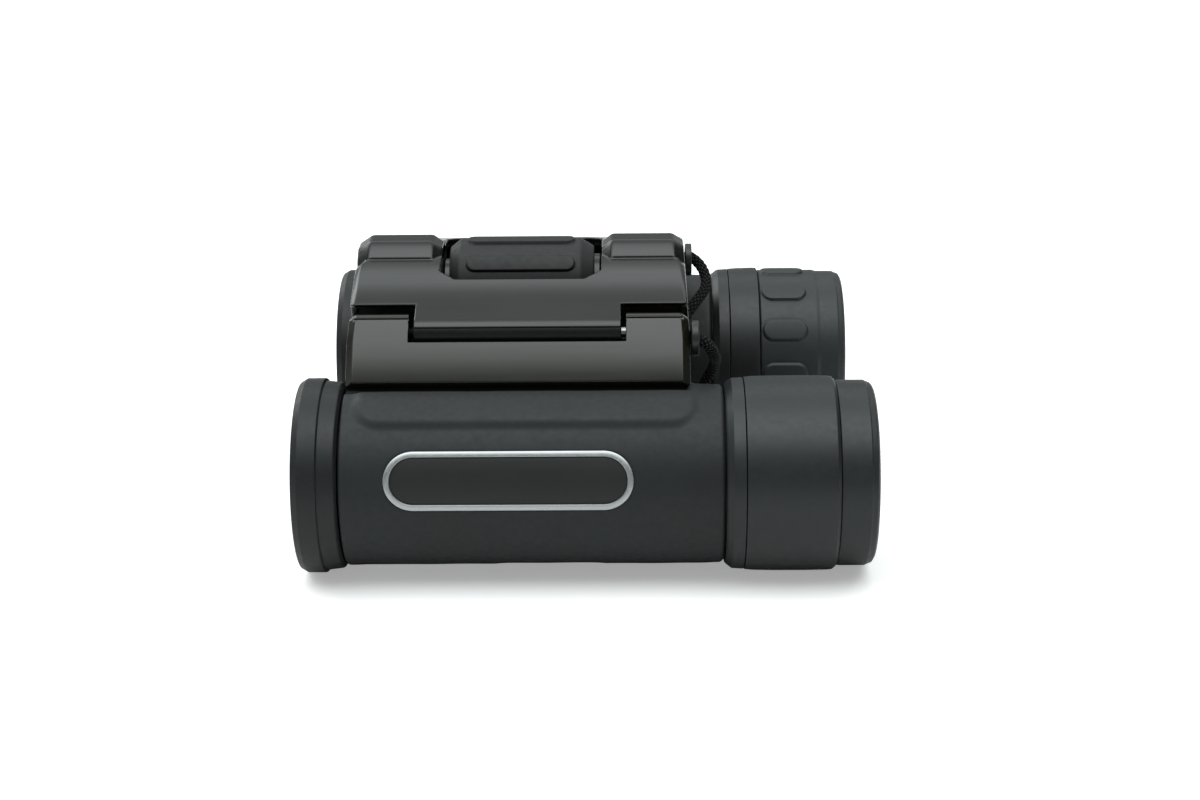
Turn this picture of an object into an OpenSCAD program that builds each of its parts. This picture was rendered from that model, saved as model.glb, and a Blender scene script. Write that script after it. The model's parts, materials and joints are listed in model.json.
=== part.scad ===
// Compact roof-prism binoculars with two barrels hung from a central bridge.
// X runs along the optical axes with the eyepieces at +X, Y runs across the
// barrels with the dioptre eyepiece at +Y, and Z is up. The origin lies on the
// ground below the middle of the pair, which rests on its four rubber rims.

/* [Overall] */
// Length over the rubber rims and eyecups
body_l = 92; // [92:1:95]
// Distance between the two optical axes as the pair lies open
axis_gap = 60; // [59:0.5:61]

/* [Barrels] */
// Radius of the rims that touch the ground
rim_r = 15.75; // [15.7:0.05:15.9]
// Radius of the rubber armour
armour_r = 14.5; // [14.4:0.1:14.7]
// Radius of the eyecups
cup_r = 15; // [14.8:0.1:15.2]
// Outer radius of the aluminium barrel tube
tube_r = 12.6; // [12.5:0.1:12.7]
// Wall of the barrel tube
tube_wall = 1.4; // [1.3:0.1:1.5]
// Clear diameter of the objective
objective_d = 21; // [20:0.5:21]

/* [Bridge] */
// Length of the bridge along the optical axes
bridge_l = 56; // [56:0.5:57]
// Middle of the bridge along X
bridge_x = -11.1; // [-11.4:0.1:-10.8]
// Wall of the bridge cover
cover_wall = 1.5; // [1.4:0.1:1.7]
// Radius of the focus wheel over its grip pads
wheel_r = 8; // [7.8:0.1:8]
// Number of grip pads on the focus wheel
wheel_pads = 8; // [6:1:10]

/* [Hinges] */
// Distance of each hinge axis from the middle plane
hinge_y = 21; // [20.8:0.1:21.2]
// Height of the hinge axes above the optical axes
hinge_h = 21.05; // [20.9:0.05:21.2]
// Radius of the hinge ears and knuckles
ear_r = 2.9; // [2.8:0.1:3]
// Radius of the hinge pins
pin_r = 1; // [0.9:0.05:1.1]

/* [Strap] */
// Diameter of the braided neck cord
cord_d = 2; // [1.8:0.1:2]

/* [Hidden] */
$fn = 96;
x0 = -body_l / 2;                 // objective end
x1 = body_l / 2;                  // eyepiece end
by = axis_gap / 2;
rz = rim_r;                       // height of the optical axes
hz = rz + hinge_h;                // height of the hinge axes
bx0 = bridge_x - bridge_l / 2;    // ends of the bridge
bx1 = bridge_x + bridge_l / 2;
top_z = hz + 10.15;               // top of the two bosses
wheel_z = hz + 1.95;              // height of the focus axle
wheel_cx = -11.1;
screw_r = 1.5;
tube_in = tube_r - tube_wall;
arm_x0 = -38.8;                   // ends of the hinge arms
arm_x1 = 16.8;
ear_in = 17.55;                   // inner face of each ear from the bridge's middle
knuckle_in = 16.8;                // half length of the bridge's own knuckle
slot_x0 = -24.4;                  // opening for the focusing finger
slot_x1 = -15.6;
collar_x = -20;
lug_x0 = 17.05;
lug_x1 = 18.25;
rubber = [0.13, 0.14, 0.145];
gloss = [0.2, 0.21, 0.21];
metal = [0.7, 0.71, 0.72];
dark = [0.06, 0.06, 0.065];
lens_c = [0.55, 0.5, 0.75, 0.5];

// ---- helpers ----
module xcyl(a, b, r) { translate([a, 0, 0]) rotate([0, 90, 0]) cylinder(h = b - a, r = r); }
module xring(a, b, ro, ri) { difference() { xcyl(a, b, ro); xcyl(a - 1, b + 1, ri); } }
// solid of revolution about X from [x, radius] pairs
module xrev(pts) { rotate([0, 90, 0]) rotate_extrude() polygon([for (p = pts) [p[1], p[0]]]); }
// prism along X from a section in the Y-Z plane
module xprism(a, b) { translate([a, 0, 0]) rotate([90, 0, 90]) linear_extrude(b - a) children(); }
// prism along Y, symmetric about the middle plane, from a section in the X-Z plane
module yprism(w) { translate([0, w, 0]) rotate([90, 0, 0]) linear_extrude(2 * w) children(); }
module stadium(l, w) {
  square([l - w, w], center = true);
  for (s = [-1, 1]) translate([s * (l - w) / 2, 0]) circle(r = w / 2);
}
// the parts of the left barrel are the right ones mirrored
module side(s) { if (s < 0) mirror([0, 1, 0]) children(); else children(); }
module on_axis(s) { translate([0, s * by, rz]) children(); }
function unit(v) = v / norm(v);
// points of an arc about c from angle a to b
function arc(c, r, a, b, n) = [for (i = [0 : n]) c + r * [cos(a + (b - a) * i / n), sin(a + (b - a) * i / n)]];

// ---- hinge arm section, for the right barrel ----
H = [hinge_y, hz];
foot = [by - 0.5, rz + 15.1];                       // where the plate lands on the barrel
foot_a = atan2(foot[1] - H[1], foot[0] - H[0]);
tang = foot_a + acos(ear_r / norm(foot - H));        // direction of the plate's normal
pn = [cos(tang), sin(tang)];
T = H + ear_r * pn;
plate_t = 2.2;
Ti = T - plate_t * pn;
Fi = foot - plate_t * pn;
function on_inner(y) = [y, Ti[1] + (y - Ti[0]) * (Fi[1] - Ti[1]) / (Fi[0] - Ti[0])];

module plate2d() { polygon([T, foot, Fi, Ti]); }
module foot2d(y_in) {
  polygon([foot, [foot[0], rz + 10], [y_in - 1, rz + 10], [y_in, rz + 13], on_inner(y_in), Fi]);
}
module ear2d() { translate(H) circle(r = ear_r); plate2d(); }

module arm(s) color(gloss) side(s) difference() {
  union() {
    xprism(arm_x0, bridge_x - ear_in) ear2d();
    xprism(bridge_x + ear_in, arm_x1) ear2d();
    difference() {
      xprism(bridge_x - ear_in - 0.01, bridge_x + ear_in + 0.01) plate2d();
      translate([0, H[0], H[1]]) xcyl(bridge_x - ear_in, bridge_x + ear_in, 4);
    }
    xprism(-37.5, slot_x0) foot2d(hinge_y + 3);
    xprism(slot_x0 - 0.01, slot_x1 + 0.01) foot2d(by - 1.9);
    xprism(slot_x1, 16.2) foot2d(hinge_y + 3);
  }
  translate([0, H[0], H[1]]) xcyl(arm_x0 - 1, arm_x1 + 1, pin_r + 0.05);
  translate([0, H[0], H[1]]) xcyl(bridge_x - ear_in, bridge_x + ear_in, 4);
  on_axis(1) xcyl(arm_x0 - 1, arm_x1 + 1, tube_r);
}

// ---- bridge ----
outer_half = concat([[0, hz + 7.95], [6.5, hz + 7.55], [12, hz + 6.55], [16, hz + 5.4], [19.5, hz + 3.85]],
  [H + ear_r * [cos(61), sin(61)]]);
inner_half = [[18.6, hz + 2.5], [15.5, hz + 3.9], [11.6, hz + 5], [6.3, hz + 6], [0, hz + 6.4]];
module skin2d() {
  polygon(concat(outer_half, inner_half));
  mirror([1, 0]) polygon(concat(outer_half, inner_half));
}
module full2d(z) {
  polygon(concat([[0, z]], outer_half, [[17, hz + 2.5], [17, z]]));
  mirror([1, 0]) polygon(concat([[0, z]], outer_half, [[17, hz + 2.5], [17, z]]));
}
// one boss on the bridge, from a to b, with bevels of length ba and bb at its ends
module boss(a, b, ba, bb) {
  intersection() {
    xprism(a, b) polygon([[-6.5, hz + 4], [-6.5, hz + 7.6], [-6, hz + 8.25], [-3, top_z],
      [3, top_z], [6, hz + 8.25], [6.5, hz + 7.6], [6.5, hz + 4]]);
    yprism(10) polygon([[a, hz], [a, top_z - 2], [a + ba, top_z], [b - bb, top_z], [b, top_z - 2], [b, hz]]);
  }
}
module knuckle(s) side(s) difference() {
  union() {
    translate([0, H[0], H[1]]) xcyl(bridge_x - knuckle_in, bridge_x + knuckle_in, ear_r);
    // web that joins the knuckle to the side wall
    xprism(bridge_x - knuckle_in, bridge_x + knuckle_in)
      polygon([[15, hz - 2.6], [20.5, hz - 2.6], [20.5, hz - 1.2], [15, hz - 1.2]]);
    xprism(bridge_x - knuckle_in, bridge_x + knuckle_in)
      polygon([[18, hz + 2.2], [21, hz + 0.5], [22.3, hz + 2.4], [19.5, hz + 3.8]]);
  }
  // pocket for the sliding collar, open inwards and downwards
  translate([0, H[0], H[1]]) xcyl(slot_x0, slot_x1, 2.4);
  translate([slot_x0, hinge_y - 4.7, hz - 2.25]) cube([slot_x1 - slot_x0, 4.7, 4.5]);
  xprism(slot_x0, slot_x1) polygon([H, H + 9 * [cos(-27), sin(-27)], H + 12 * [cos(-75), sin(-75)],
    H + 9 * [cos(-122), sin(-122)]]);
}
module bridge_cover() color(gloss) difference() {
  union() {
    xprism(bx0, bx1) skin2d();
    // end walls
    xprism(bx0, bx0 + cover_wall) full2d(hz - 5.1);
    xprism(bx1 - cover_wall, bx1) full2d(hz - 5.1);
    // side walls
    for (s = [-1, 1]) side(s) {
      translate([bx0, 15, hz - 5.1]) cube([bridge_l, 1.2, 9]);
      // screw posts
      for (x = [-36.3, 13.8]) translate([x, 12, hz - 5.1]) cylinder(h = 10.5, r = 1.7);
    }
    // walls that carry the axle
    for (x = [-26.3, 2.6]) translate([x, -9, hz - 5.1]) cube([1.5, 18, 12]);
    boss(bx0, -24.3, 2, 2.1);
    boss(2.3, bx1, 2.1, 1.7);
    knuckle(1);
    knuckle(-1);
  }
  // wheel opening
  translate([0, 0, hz + 1.95]) linear_extrude(12) polygon([[-21.85, 12], [-0.35, 12], [2.3, 9.3], [2.3, -9.3],
    [-0.35, -12], [-21.85, -12], [-24.5, -9.3], [-24.5, 9.3]]);
  // hollow under each boss
  translate([bx0 + 1.6, -4.5, hz + 3]) cube([11, 9, 5.4]);
  translate([4.1, -4.5, hz + 3]) cube([11.1, 9, 5.4]);
  translate([0, 0, wheel_z]) xcyl(-27, 5, 2.6);
  for (s = [-1, 1]) side(s) {
    // room for the ears of the arms
    translate([0, H[0], H[1]]) xcyl(bx0 - 1, bridge_x - knuckle_in, 4.7);
    translate([0, H[0], H[1]]) xcyl(bridge_x + knuckle_in, bx1 + 1, 4.7);
    translate([0, H[0], H[1]]) xcyl(bx0, bx1, pin_r);
    // passage for the carriage's legs
    translate([slot_x0, 14, hz - 1.2]) cube([slot_x1 - slot_x0, 5, 2.9]);
    for (x = [-36.3, 13.8]) translate([x, 12, hz - 6]) cylinder(h = 7.5, r = 0.8);
  }
}
module bridge_base() color(dark) difference() {
  translate([bx0 + 0.2, -16.9, hz - 6.3]) cube([bridge_l - 0.4, 33.8, 1.2]);
  translate([-24.1, -7.4, hz - 8]) cube([26, 14.8, 5]);
  for (s = [-1, 1], x = [-36.3, 13.8]) translate([x, 12 * s, hz - 7]) {
    cylinder(h = 3, r = 0.9);
    cylinder(h = 1.4, r = 1.65);
  }
  // room over the focusing fingers
  for (s = [-1, 1]) side(s) translate([slot_x0, 15.9, hz - 7]) cube([slot_x1 - slot_x0, 2, 3]);
}
module base_screws() color(metal) for (s = [-1, 1], x = [-36.3, 13.8]) translate([x, 12 * s, 0]) difference() {
  union() {
    translate([0, 0, hz - 6.2]) cylinder(h = 0.6, r = 1.55);
    translate([0, 0, hz - 5.7]) cylinder(h = 6.5, r = 0.8);
  }
  translate([-0.2, -1, hz - 6.3]) cube([0.4, 2, 0.4]);
  translate([-1, -0.2, hz - 6.3]) cube([2, 0.4, 0.4]);
}
module hinge_pin(s) color(metal) side(s) translate([0, H[0], H[1]]) {
  xrev([[-38.3, 0], [-38.3, pin_r - 0.2], [-38.1, pin_r], [lug_x1 - 0.3, pin_r], [lug_x1 - 0.1, pin_r - 0.2], [lug_x1 - 0.1, 0]]);
}
lug_c = H + [1.2, -0.7];
lug_hole = H + [2.5, -0.5];
module strap_lug(s) color(gloss) side(s) difference() {
  translate([0, lug_c[0], lug_c[1]]) xrev([[lug_x0, 0], [lug_x0, 2.9], [lug_x1 - 0.25, 2.9], [lug_x1, 2.65], [lug_x1, 0]]);
  translate([0, H[0], H[1]]) xcyl(lug_x0 - 1, lug_x1 + 1, pin_r);
  translate([0, lug_hole[0], lug_hole[1]]) xcyl(lug_x0 - 1, lug_x1 + 1, cord_d / 2 - 0.03);
}
module axle_bushes() color([0.72, 0.6, 0.35]) translate([0, 0, wheel_z]) {
  xrev([[-26.3, screw_r + 0.05], [-26.3, 2.6], [-24.8, 2.6], [-24.8, screw_r + 0.05]]);
  xrev([[2.6, screw_r + 0.05], [2.6, 2.6], [4.1, 2.6], [4.1, screw_r + 0.05]]);
}

// ---- focusing ----
module focus_grip() color(rubber) translate([0, 0, wheel_z]) difference() {
  union() {
    xrev([[-23.3, 0], [-23.3, 6.4], [-21.5, 7.55], [-1.2, 7.55], [1.1, 6.4], [1.1, 0]]);
    intersection() {
      for (i = [0 : wheel_pads - 1]) rotate([i * 360 / wheel_pads + 138, 0, 0])
        translate([-11.2, 9, 0]) rotate([90, 0, 0]) linear_extrude(3) stadium(18.3, 2.7);
      xcyl(-23, 1, wheel_r);
    }
  }
  xcyl(-24, 2, 5.6);
}
module focus_hub() color(dark) translate([0, 0, wheel_z]) difference() {
  xrev([[-24.4, 0], [-24.4, 4.3], [-23.3, 4.3], [-23.3, 5.2], [-22.9, 5.6], [0.7, 5.6], [1.1, 5.2], [1.1, 5], [2.2, 5], [2.2, 0]]);
  xcyl(-25, 3, screw_r);
}
module focus_screw() color(metal) translate([0, 0, wheel_z]) xrev(concat(
  [[-36.6, 0], [-36.6, screw_r - 0.25]],
  // thread grooves along the nut's travel
  [for (i = [0 : 19]) each [[-36.3 + i * 0.48, screw_r], [-36.1 + i * 0.48, screw_r], [-35.96 + i * 0.48, screw_r - 0.12]]],
  [[-26.6, screw_r], [4.6, screw_r], [4.6, 1.15], [5.2, 1.15], [5.2, screw_r], [6.3, screw_r], [6.5, screw_r - 0.2], [6.5, 0]]));
module screw_clip() color(metal) translate([0, 0, wheel_z]) difference() {
  xring(4.65, 5.15, 3, 1.2);
  translate([4, -0.7, -4]) cube([2, 1.4, 4]);
}
module focus_nut() color([0.72, 0.6, 0.35]) translate([0, 0, wheel_z]) xring(-33.5, -28.5, 2.6, screw_r + 0.05);
module focus_carriage() color(dark) difference() {
  union() {
    translate([-33.3, -3.8, wheel_z - 3.8]) cube([4.6, 7.6, 7.4]);
    translate([-31.5, -14, hz - 0.9]) cube([2, 28, 2.3]);
    for (s = [-1, 1]) side(s) {
      translate([-31.5, 11.6, hz - 0.9]) cube([12, 2.4, 2.3]);
      translate([collar_x - 0.5, 11.6, hz - 0.9]) cube([1, 10.2, 2.3]);
      translate([collar_x - 0.5, 17.7, hz - 2]) cube([1, 3.4, 4]);
    }
  }
  translate([0, 0, wheel_z]) xcyl(-34, -28, 2.6);
  // open fork that holds the collar on the hinge pin
  for (s = [-1, 1]) side(s) {
    translate([0, H[0], H[1]]) xcyl(collar_x - 1, collar_x + 1, 1.35);
    translate([collar_x - 1, hinge_y, hz - 1.35]) cube([2, 3, 2.7]);
    translate([collar_x - 1, hinge_y + 0.2, hz - 3]) cube([2, 3, 6]);
  }
}

// ---- objective cell with its focusing finger ----
finger_a = atan2(hinge_h, hinge_y - by);             // from the optical axis to the hinge axis
hinge_d = norm([hinge_y - by, hinge_h]);
module objective_cell(s) color(dark) side(s) difference() {
  union() {
    on_axis(1) {
      xring(-39, -17, tube_in - 0.1, 9.9);
      rotate([finger_a, 0, 0]) translate([-22, 10.5, -0.75]) cube([4, hinge_d - 11.8, 1.5]);
    }
    translate([0, H[0], H[1]]) xcyl(-22, -18, 2.1);
  }
  on_axis(1) xcyl(-40, -31.6, 10.5);
  translate([0, H[0], H[1]]) {
    xcyl(-23, -17, pin_r + 0.05);
    xring(collar_x - 0.6, collar_x + 0.6, 3, 1.3);
  }
  on_axis(1) xcyl(-30, -16, 10.2);
}
lr = 10.5;
function sag(r, y) = abs(r) - sqrt(r * r - y * y);
function curve(x, r, n) = [for (i = [0 : n]) [x + sign(r) * sag(r, lr * i / n), lr * i / n]];
function rev(v) = [for (i = [len(v) - 1 : -1 : 0]) v[i]];
module objective_crown(s) color(lens_c) side(s) on_axis(1) xrev(concat(curve(-37.4, 42, 8), rev(curve(-34, -32, 8))));
module objective_flint(s) color(lens_c) side(s) on_axis(1) xrev(concat(curve(-34, -32, 8), rev(curve(-32.2, -200, 4))));
module lens_ring(s) color(dark) side(s) on_axis(1) xrev([[-39, 9.6], [-39, 10.5], [-36.3, 10.5], [-36.3, 10], [-38.4, 9.6]]);

// ---- barrel ----
module barrel_tube(s) color(metal) side(s) difference() {
  on_axis(1) xring(x0 + 4.5, 24, tube_r, tube_in);
  on_axis(1) rotate([finger_a, 0, 0]) translate([slot_x0 + 0.1, 9, -1.3]) cube([slot_x1 - slot_x0 - 0.2, 6, 2.6]);
}
module armour_body() {
  xring(-38.6, 21.7, armour_r, tube_r);
  // raised land beside the hinge arm
  intersection() {
    xring(-36.4, 17.4, armour_r + 0.3, armour_r - 0.5);
    xprism(-37, 18) polygon([[0, 0], 20 * [cos(54), sin(54)], 20 * [cos(72), sin(72)], 20 * [cos(90), sin(90)]]);
  }
}
badge_a = 17;
module badge_prism(l, w) rotate([badge_a, 0, 0]) translate([-12, 20, 0]) rotate([90, 0, 0]) linear_extrude(12) stadium(l, w);
module armour(s) color(rubber) side(s) difference() {
  on_axis(1) armour_body();
  // slot for the foot of the arm
  translate([-37.6, hinge_y + 1.7, rz + 8]) cube([53.9, by - 0.1 - hinge_y - 1.7, 10]);
  if (s < 0) on_axis(1) difference() { badge_prism(39, 9.5); xcyl(-40, 20, armour_r - 0.4); }
}
module badge_frame() color([0.8, 0.8, 0.8]) side(-1) on_axis(1) intersection() {
  difference() { badge_prism(39, 9.5); badge_prism(37, 7.5); }
  xring(-40, 20, armour_r + 0.12, armour_r - 0.4);
}
module badge_plate() color(dark) side(-1) on_axis(1) intersection() {
  badge_prism(37, 7.5);
  xring(-40, 20, armour_r - 0.15, armour_r - 0.4);
}
module objective_rim(s) color(rubber) side(s) on_axis(1) xrev([
  [x0, 13.4], [x0, rim_r - 0.8], [x0 + 0.8, rim_r], [x0 + 4, rim_r], [x0 + 4.1, rim_r - 0.7],
  [-39.1, rim_r - 0.7], [-38.9, rim_r - 0.95], [-38.9, tube_r], [x0 + 4.5, tube_r], [x0 + 4.5, tube_in],
  [x0 + 2.6, tube_in]]);
module prism_cage(s) color(dark) side(s) on_axis(1) difference() {
  xcyl(-13.4, 3.4, tube_in);
  translate([-12.1, -5.05, -8.7]) cube([13.8, 10.1, 25]);
  xcyl(-14, 4, 4.6);
}
module entry_prism(s) color(lens_c) side(s) on_axis(1) translate([0, 5, 0]) rotate([90, 0, 0]) linear_extrude(10)
  polygon([[-12, -4], [-12, 4], [-1.7, -6.3], [-1.7, -8.25]]);
module roof_prism(s) color(lens_c) side(s) on_axis(1) translate([0, 5, 0]) rotate([90, 0, 0]) linear_extrude(10)
  polygon([[0, -7.6], [1.6, -7.6], [1.6, 4.8], [-8.3, 0.72]]);
module field_stop(s) color(dark) side(s) on_axis(1) xrev([[7, 5.2], [7, tube_in], [8.4, tube_in], [8.4, 6]]);
module eyepiece_housing(s) color(rubber) side(s) on_axis(1) xrev([
  [22, tube_r], [22, 15], [22.2, 15.15], [25, 15.5], [25.2, 15.3], [25.2, 12.8], [41, 12.8], [41, 11.4], [25.2, 11.4],
  [25.2, 9.4], [14, 9.4], [14, tube_in], [24, tube_in], [24, tube_r]]);
module ocular_cell(s) color(dark) side(s) on_axis(1) difference() {
  xcyl(27, 39.6, 11.3);
  xcyl(26, 30.5, 8.6);
  xcyl(30, 35.2, 7.6);
  xcyl(34.9, 38.2, 8.6);
  xcyl(38, 40, 7.4);
}
// plano-convex eyepiece lenses, rim radius er
er = 8.6;
function dome(x, r, n) = [for (i = [0 : n]) [x + sign(r) * sag(r, er * i / n), er * i / n]];
module field_lens(s) color(lens_c) side(s) on_axis(1) xrev(concat([[27.2, 0], [27.2, er]], rev(dome(30.4, -26, 8))));
module eye_lens(s) color(lens_c) side(s) on_axis(1) xrev(concat(dome(35.1, 26, 8), [[38, er], [38, 0]]));
// soft cup round the eye, shared by both eyepieces
module cup(a, r) xrev([[a, 12.8], [a, r], [x1 - 1.2, r], [x1 - 0.5, r - 0.3], [x1, r - 1.1], [x1, 13.3], [x1 - 0.6, 12.9],
  [41.2, 10.2], [41.2, 12.8]]);
module eyepiece_sleeve_left() color(rubber) on_axis(-1)
  xrev([[25.5, 12.8], [25.5, rim_r - 0.3], [25.8, rim_r], [39.5, rim_r], [40.3, rim_r - 0.7], [40.3, 12.8]]);
module eyecup_left() color(rubber) on_axis(-1) cup(40.4, cup_r);
module eyepiece_ring_right() color(rubber) on_axis(1)
  xrev([[25.4, 12.8], [25.4, rim_r - 0.4], [25.7, rim_r - 0.05], [30.1, rim_r - 0.05], [30.4, rim_r - 0.3], [30.4, 12.8]]);
module diopter_ring() color(dark) on_axis(1) xrev([[30.7, 12.86], [30.7, 13.8], [40.9, 13.8], [40.9, 12.86]]);
module diopter_grip() color(rubber) on_axis(1) {
  xrev([[30.7, 13.8], [30.7, 15], [31, 15.2], [39.4, 15.2], [39.4, cup_r], [x1 - 1.2, cup_r], [x1 - 0.5, cup_r - 0.3],
    [x1, cup_r - 1.1], [x1, 13.3], [x1 - 0.6, 12.9], [41.2, 10.2], [41.2, 12.9], [40.9, 12.9], [40.9, 13.8]]);
  intersection() {
    for (i = [0 : 11]) rotate([i * 30 + 24, 0, 0]) translate([35.3, 17, 0]) rotate([90, 0, 0]) linear_extrude(4) stadium(7.3, 3.9);
    xring(31, 40, rim_r - 0.05, 15);
  }
}

// ---- neck cord ----
// route of each strand, from its lug to the stored coil
cord_right_pts = [[17.2, 23.5, 36.3], [18.6, 23.5, 36.25], [19.9, 22, 35.8], [20.5, 19, 34.7], [20.4, 15, 33.1], [19.2, 11, 31],
  [17.3, 7.5, 28.7], [15.3, 4.5, 26], [13.8, 2, 22.5], [13.1, 0.6, 18], [13, 0, 13], [13.4, -0.3, 8.5], [14.8, -0.7, 4.6],
  [17.5, -1, 1.9], [21.5, -1.2, 1], [27, -1.2, 1], [33, -1.2, 1], [39, -1.2, 1], [44, -1, 1], [47.6, 0.8, 1], [49.5, 4.5, 1],
  [49.8, 10, 1], [49.8, 18, 1], [49.8, 26, 1], [49.8, 34, 1], [49.8, 42, 1], [49.2, 49, 1], [47, 55, 1], [43.2, 60, 1],
  [39.2, 63.6, 1], [36.8, 67, 1], [36, 71, 1]];
cord_left_pts = [[17.2, -23.5, 36.3], [18.8, -23.4, 36.2], [20.2, -21.5, 35.2], [20.8, -18, 32.9], [20.7, -13, 30], [20.3, -8.4, 27.6],
  [19.7, -5, 24.6], [19.1, -2.7, 21], [18.7, -1.1, 16.8], [18.6, -0.2, 12], [18.9, 0.3, 8], [20.2, 0.7, 4.4], [22.8, 1, 1.9],
  [26.5, 1.2, 1], [32, 1.2, 1], [37.5, 1.2, 1], [42, 1.5, 1], [45.6, 3.6, 1], [47.3, 7.5, 1], [47.6, 13, 1], [47.6, 21, 1],
  [47.6, 29, 1], [47.6, 37, 1], [47.2, 44, 1], [45, 49.6, 1.1], [40.8, 53.4, 1.5], [35, 55.5, 2.6],
  [28.5, 56, 4.1], [22, 56, 4.9]];
coil_c = [22, 70, 0];
function tangent(p, i) = unit(p[min(i + 1, len(p) - 1)] - p[max(i - 1, 0)]);
// a normal for every ring, carried along the route without twist
function carry(p, i, n) = i >= len(p) ? [] :
  let (t = tangent(p, i), m = unit(n - (n * t) * t)) concat([m], carry(p, i + 1, m));
module tube(p, r, k) {
  n = carry(p, 0, [0, 0, 1]);
  pts = [for (i = [0 : len(p) - 1]) let (t = tangent(p, i), b = cross(t, n[i]))
    for (j = [0 : k - 1]) p[i] + r * (cos(j * 360 / k) * n[i] + sin(j * 360 / k) * b)];
  m = len(p);
  faces = concat(
    [[for (j = [0 : k - 1]) j]],
    [for (i = [0 : m - 2], j = [0 : k - 1]) [i * k + j, (i + 1) * k + j, (i + 1) * k + (j + 1) % k]],
    [for (i = [0 : m - 2], j = [0 : k - 1]) [i * k + j, (i + 1) * k + (j + 1) % k, i * k + (j + 1) % k]],
    [[for (j = [k - 1 : -1 : 0]) (m - 1) * k + j]]);
  polyhedron(points = pts, faces = faces);
}
module neck_cord_right() color(dark) tube(cord_right_pts, cord_d / 2, 8);
module neck_cord_left() color(dark) tube(cord_left_pts, cord_d / 2, 8);
module neck_cord_coil() color(dark) translate(coil_c) rotate_extrude() translate([9, 0]) square([6, 6]);
module cord_tie() color(dark) translate(coil_c) rotate([0, 0, 150]) translate([0, -1, 0]) difference() {
  translate([8.2, 0, 0]) cube([7.6, 2, 6.8]);
  translate([9, -1, -1]) cube([6, 4, 7]);
}

bridge_cover();
bridge_base();
base_screws();
hinge_pin(-1);  // hinge_pin_left
hinge_pin(1);  // hinge_pin_right
strap_lug(-1);  // strap_lug_left
strap_lug(1);  // strap_lug_right
axle_bushes();
neck_cord_right();
neck_cord_left();
neck_cord_coil();
cord_tie();
focus_grip();
focus_hub();
focus_screw();
screw_clip();
focus_carriage();
focus_nut();
arm(-1);  // hinge_arm_left
arm(1);  // hinge_arm_right
barrel_tube(-1);  // barrel_tube_left
barrel_tube(1);  // barrel_tube_right
armour(-1);  // armour_left
armour(1);  // armour_right
objective_rim(-1);  // objective_rim_left
objective_rim(1);  // objective_rim_right
prism_cage(-1);  // prism_cage_left
prism_cage(1);  // prism_cage_right
entry_prism(-1);  // entry_prism_left
entry_prism(1);  // entry_prism_right
roof_prism(-1);  // roof_prism_left
roof_prism(1);  // roof_prism_right
field_stop(-1);  // field_stop_left
field_stop(1);  // field_stop_right
eyepiece_housing(-1);  // eyepiece_housing_left
eyepiece_housing(1);  // eyepiece_housing_right
ocular_cell(-1);  // ocular_cell_left
ocular_cell(1);  // ocular_cell_right
field_lens(-1);  // field_lens_left
field_lens(1);  // field_lens_right
eye_lens(-1);  // eye_lens_left
eye_lens(1);  // eye_lens_right
eyepiece_sleeve_left();
eyecup_left();
badge_frame();  // badge_frame_left
badge_plate();  // badge_plate_left
eyepiece_ring_right();
diopter_ring();
diopter_grip();
objective_cell(-1);  // objective_cell_left
objective_cell(1);  // objective_cell_right
objective_crown(-1);  // objective_crown_left
objective_crown(1);  // objective_crown_right
objective_flint(-1);  // objective_flint_left
objective_flint(1);  // objective_flint_right
lens_ring(-1);  // lens_ring_left
lens_ring(1);  // lens_ring_right
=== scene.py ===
import json
import math
import bpy
import numpy as np
from mathutils import Matrix, Vector

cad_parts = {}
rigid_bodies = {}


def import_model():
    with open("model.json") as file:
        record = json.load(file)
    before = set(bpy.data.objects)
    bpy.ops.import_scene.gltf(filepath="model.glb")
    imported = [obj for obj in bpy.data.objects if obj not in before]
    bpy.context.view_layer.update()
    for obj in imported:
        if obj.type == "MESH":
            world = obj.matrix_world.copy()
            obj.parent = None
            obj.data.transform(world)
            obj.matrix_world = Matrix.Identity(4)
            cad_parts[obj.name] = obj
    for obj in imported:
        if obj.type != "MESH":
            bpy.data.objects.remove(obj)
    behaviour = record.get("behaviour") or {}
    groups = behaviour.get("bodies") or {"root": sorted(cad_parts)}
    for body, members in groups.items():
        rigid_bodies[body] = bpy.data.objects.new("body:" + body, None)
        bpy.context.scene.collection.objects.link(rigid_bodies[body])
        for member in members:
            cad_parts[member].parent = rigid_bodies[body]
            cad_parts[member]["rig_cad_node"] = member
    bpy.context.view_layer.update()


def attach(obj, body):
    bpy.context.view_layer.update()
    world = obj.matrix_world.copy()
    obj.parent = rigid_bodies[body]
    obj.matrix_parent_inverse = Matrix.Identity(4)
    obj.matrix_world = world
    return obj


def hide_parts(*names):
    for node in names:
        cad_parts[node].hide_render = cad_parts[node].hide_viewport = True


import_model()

MM = 0.001

# ------------------------------------------------------------------ sizes, in mm, as in part.scad
RZ = 15.75                    # height of the optical axes
BY = 30.0                     # distance of each axis from the middle plane
HZ = RZ + 21.05               # height of the hinge axes
HY = 21.0
X0, X1 = -46.0, 46.0
BX0, BX1 = -39.1, 16.9        # ends of the bridge
BXC = -11.1
TOP = HZ + 10.15
WHEEL_Z = HZ + 1.95
SLOT = (-24.4, -15.6)
PIN_R = 1.0


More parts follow.
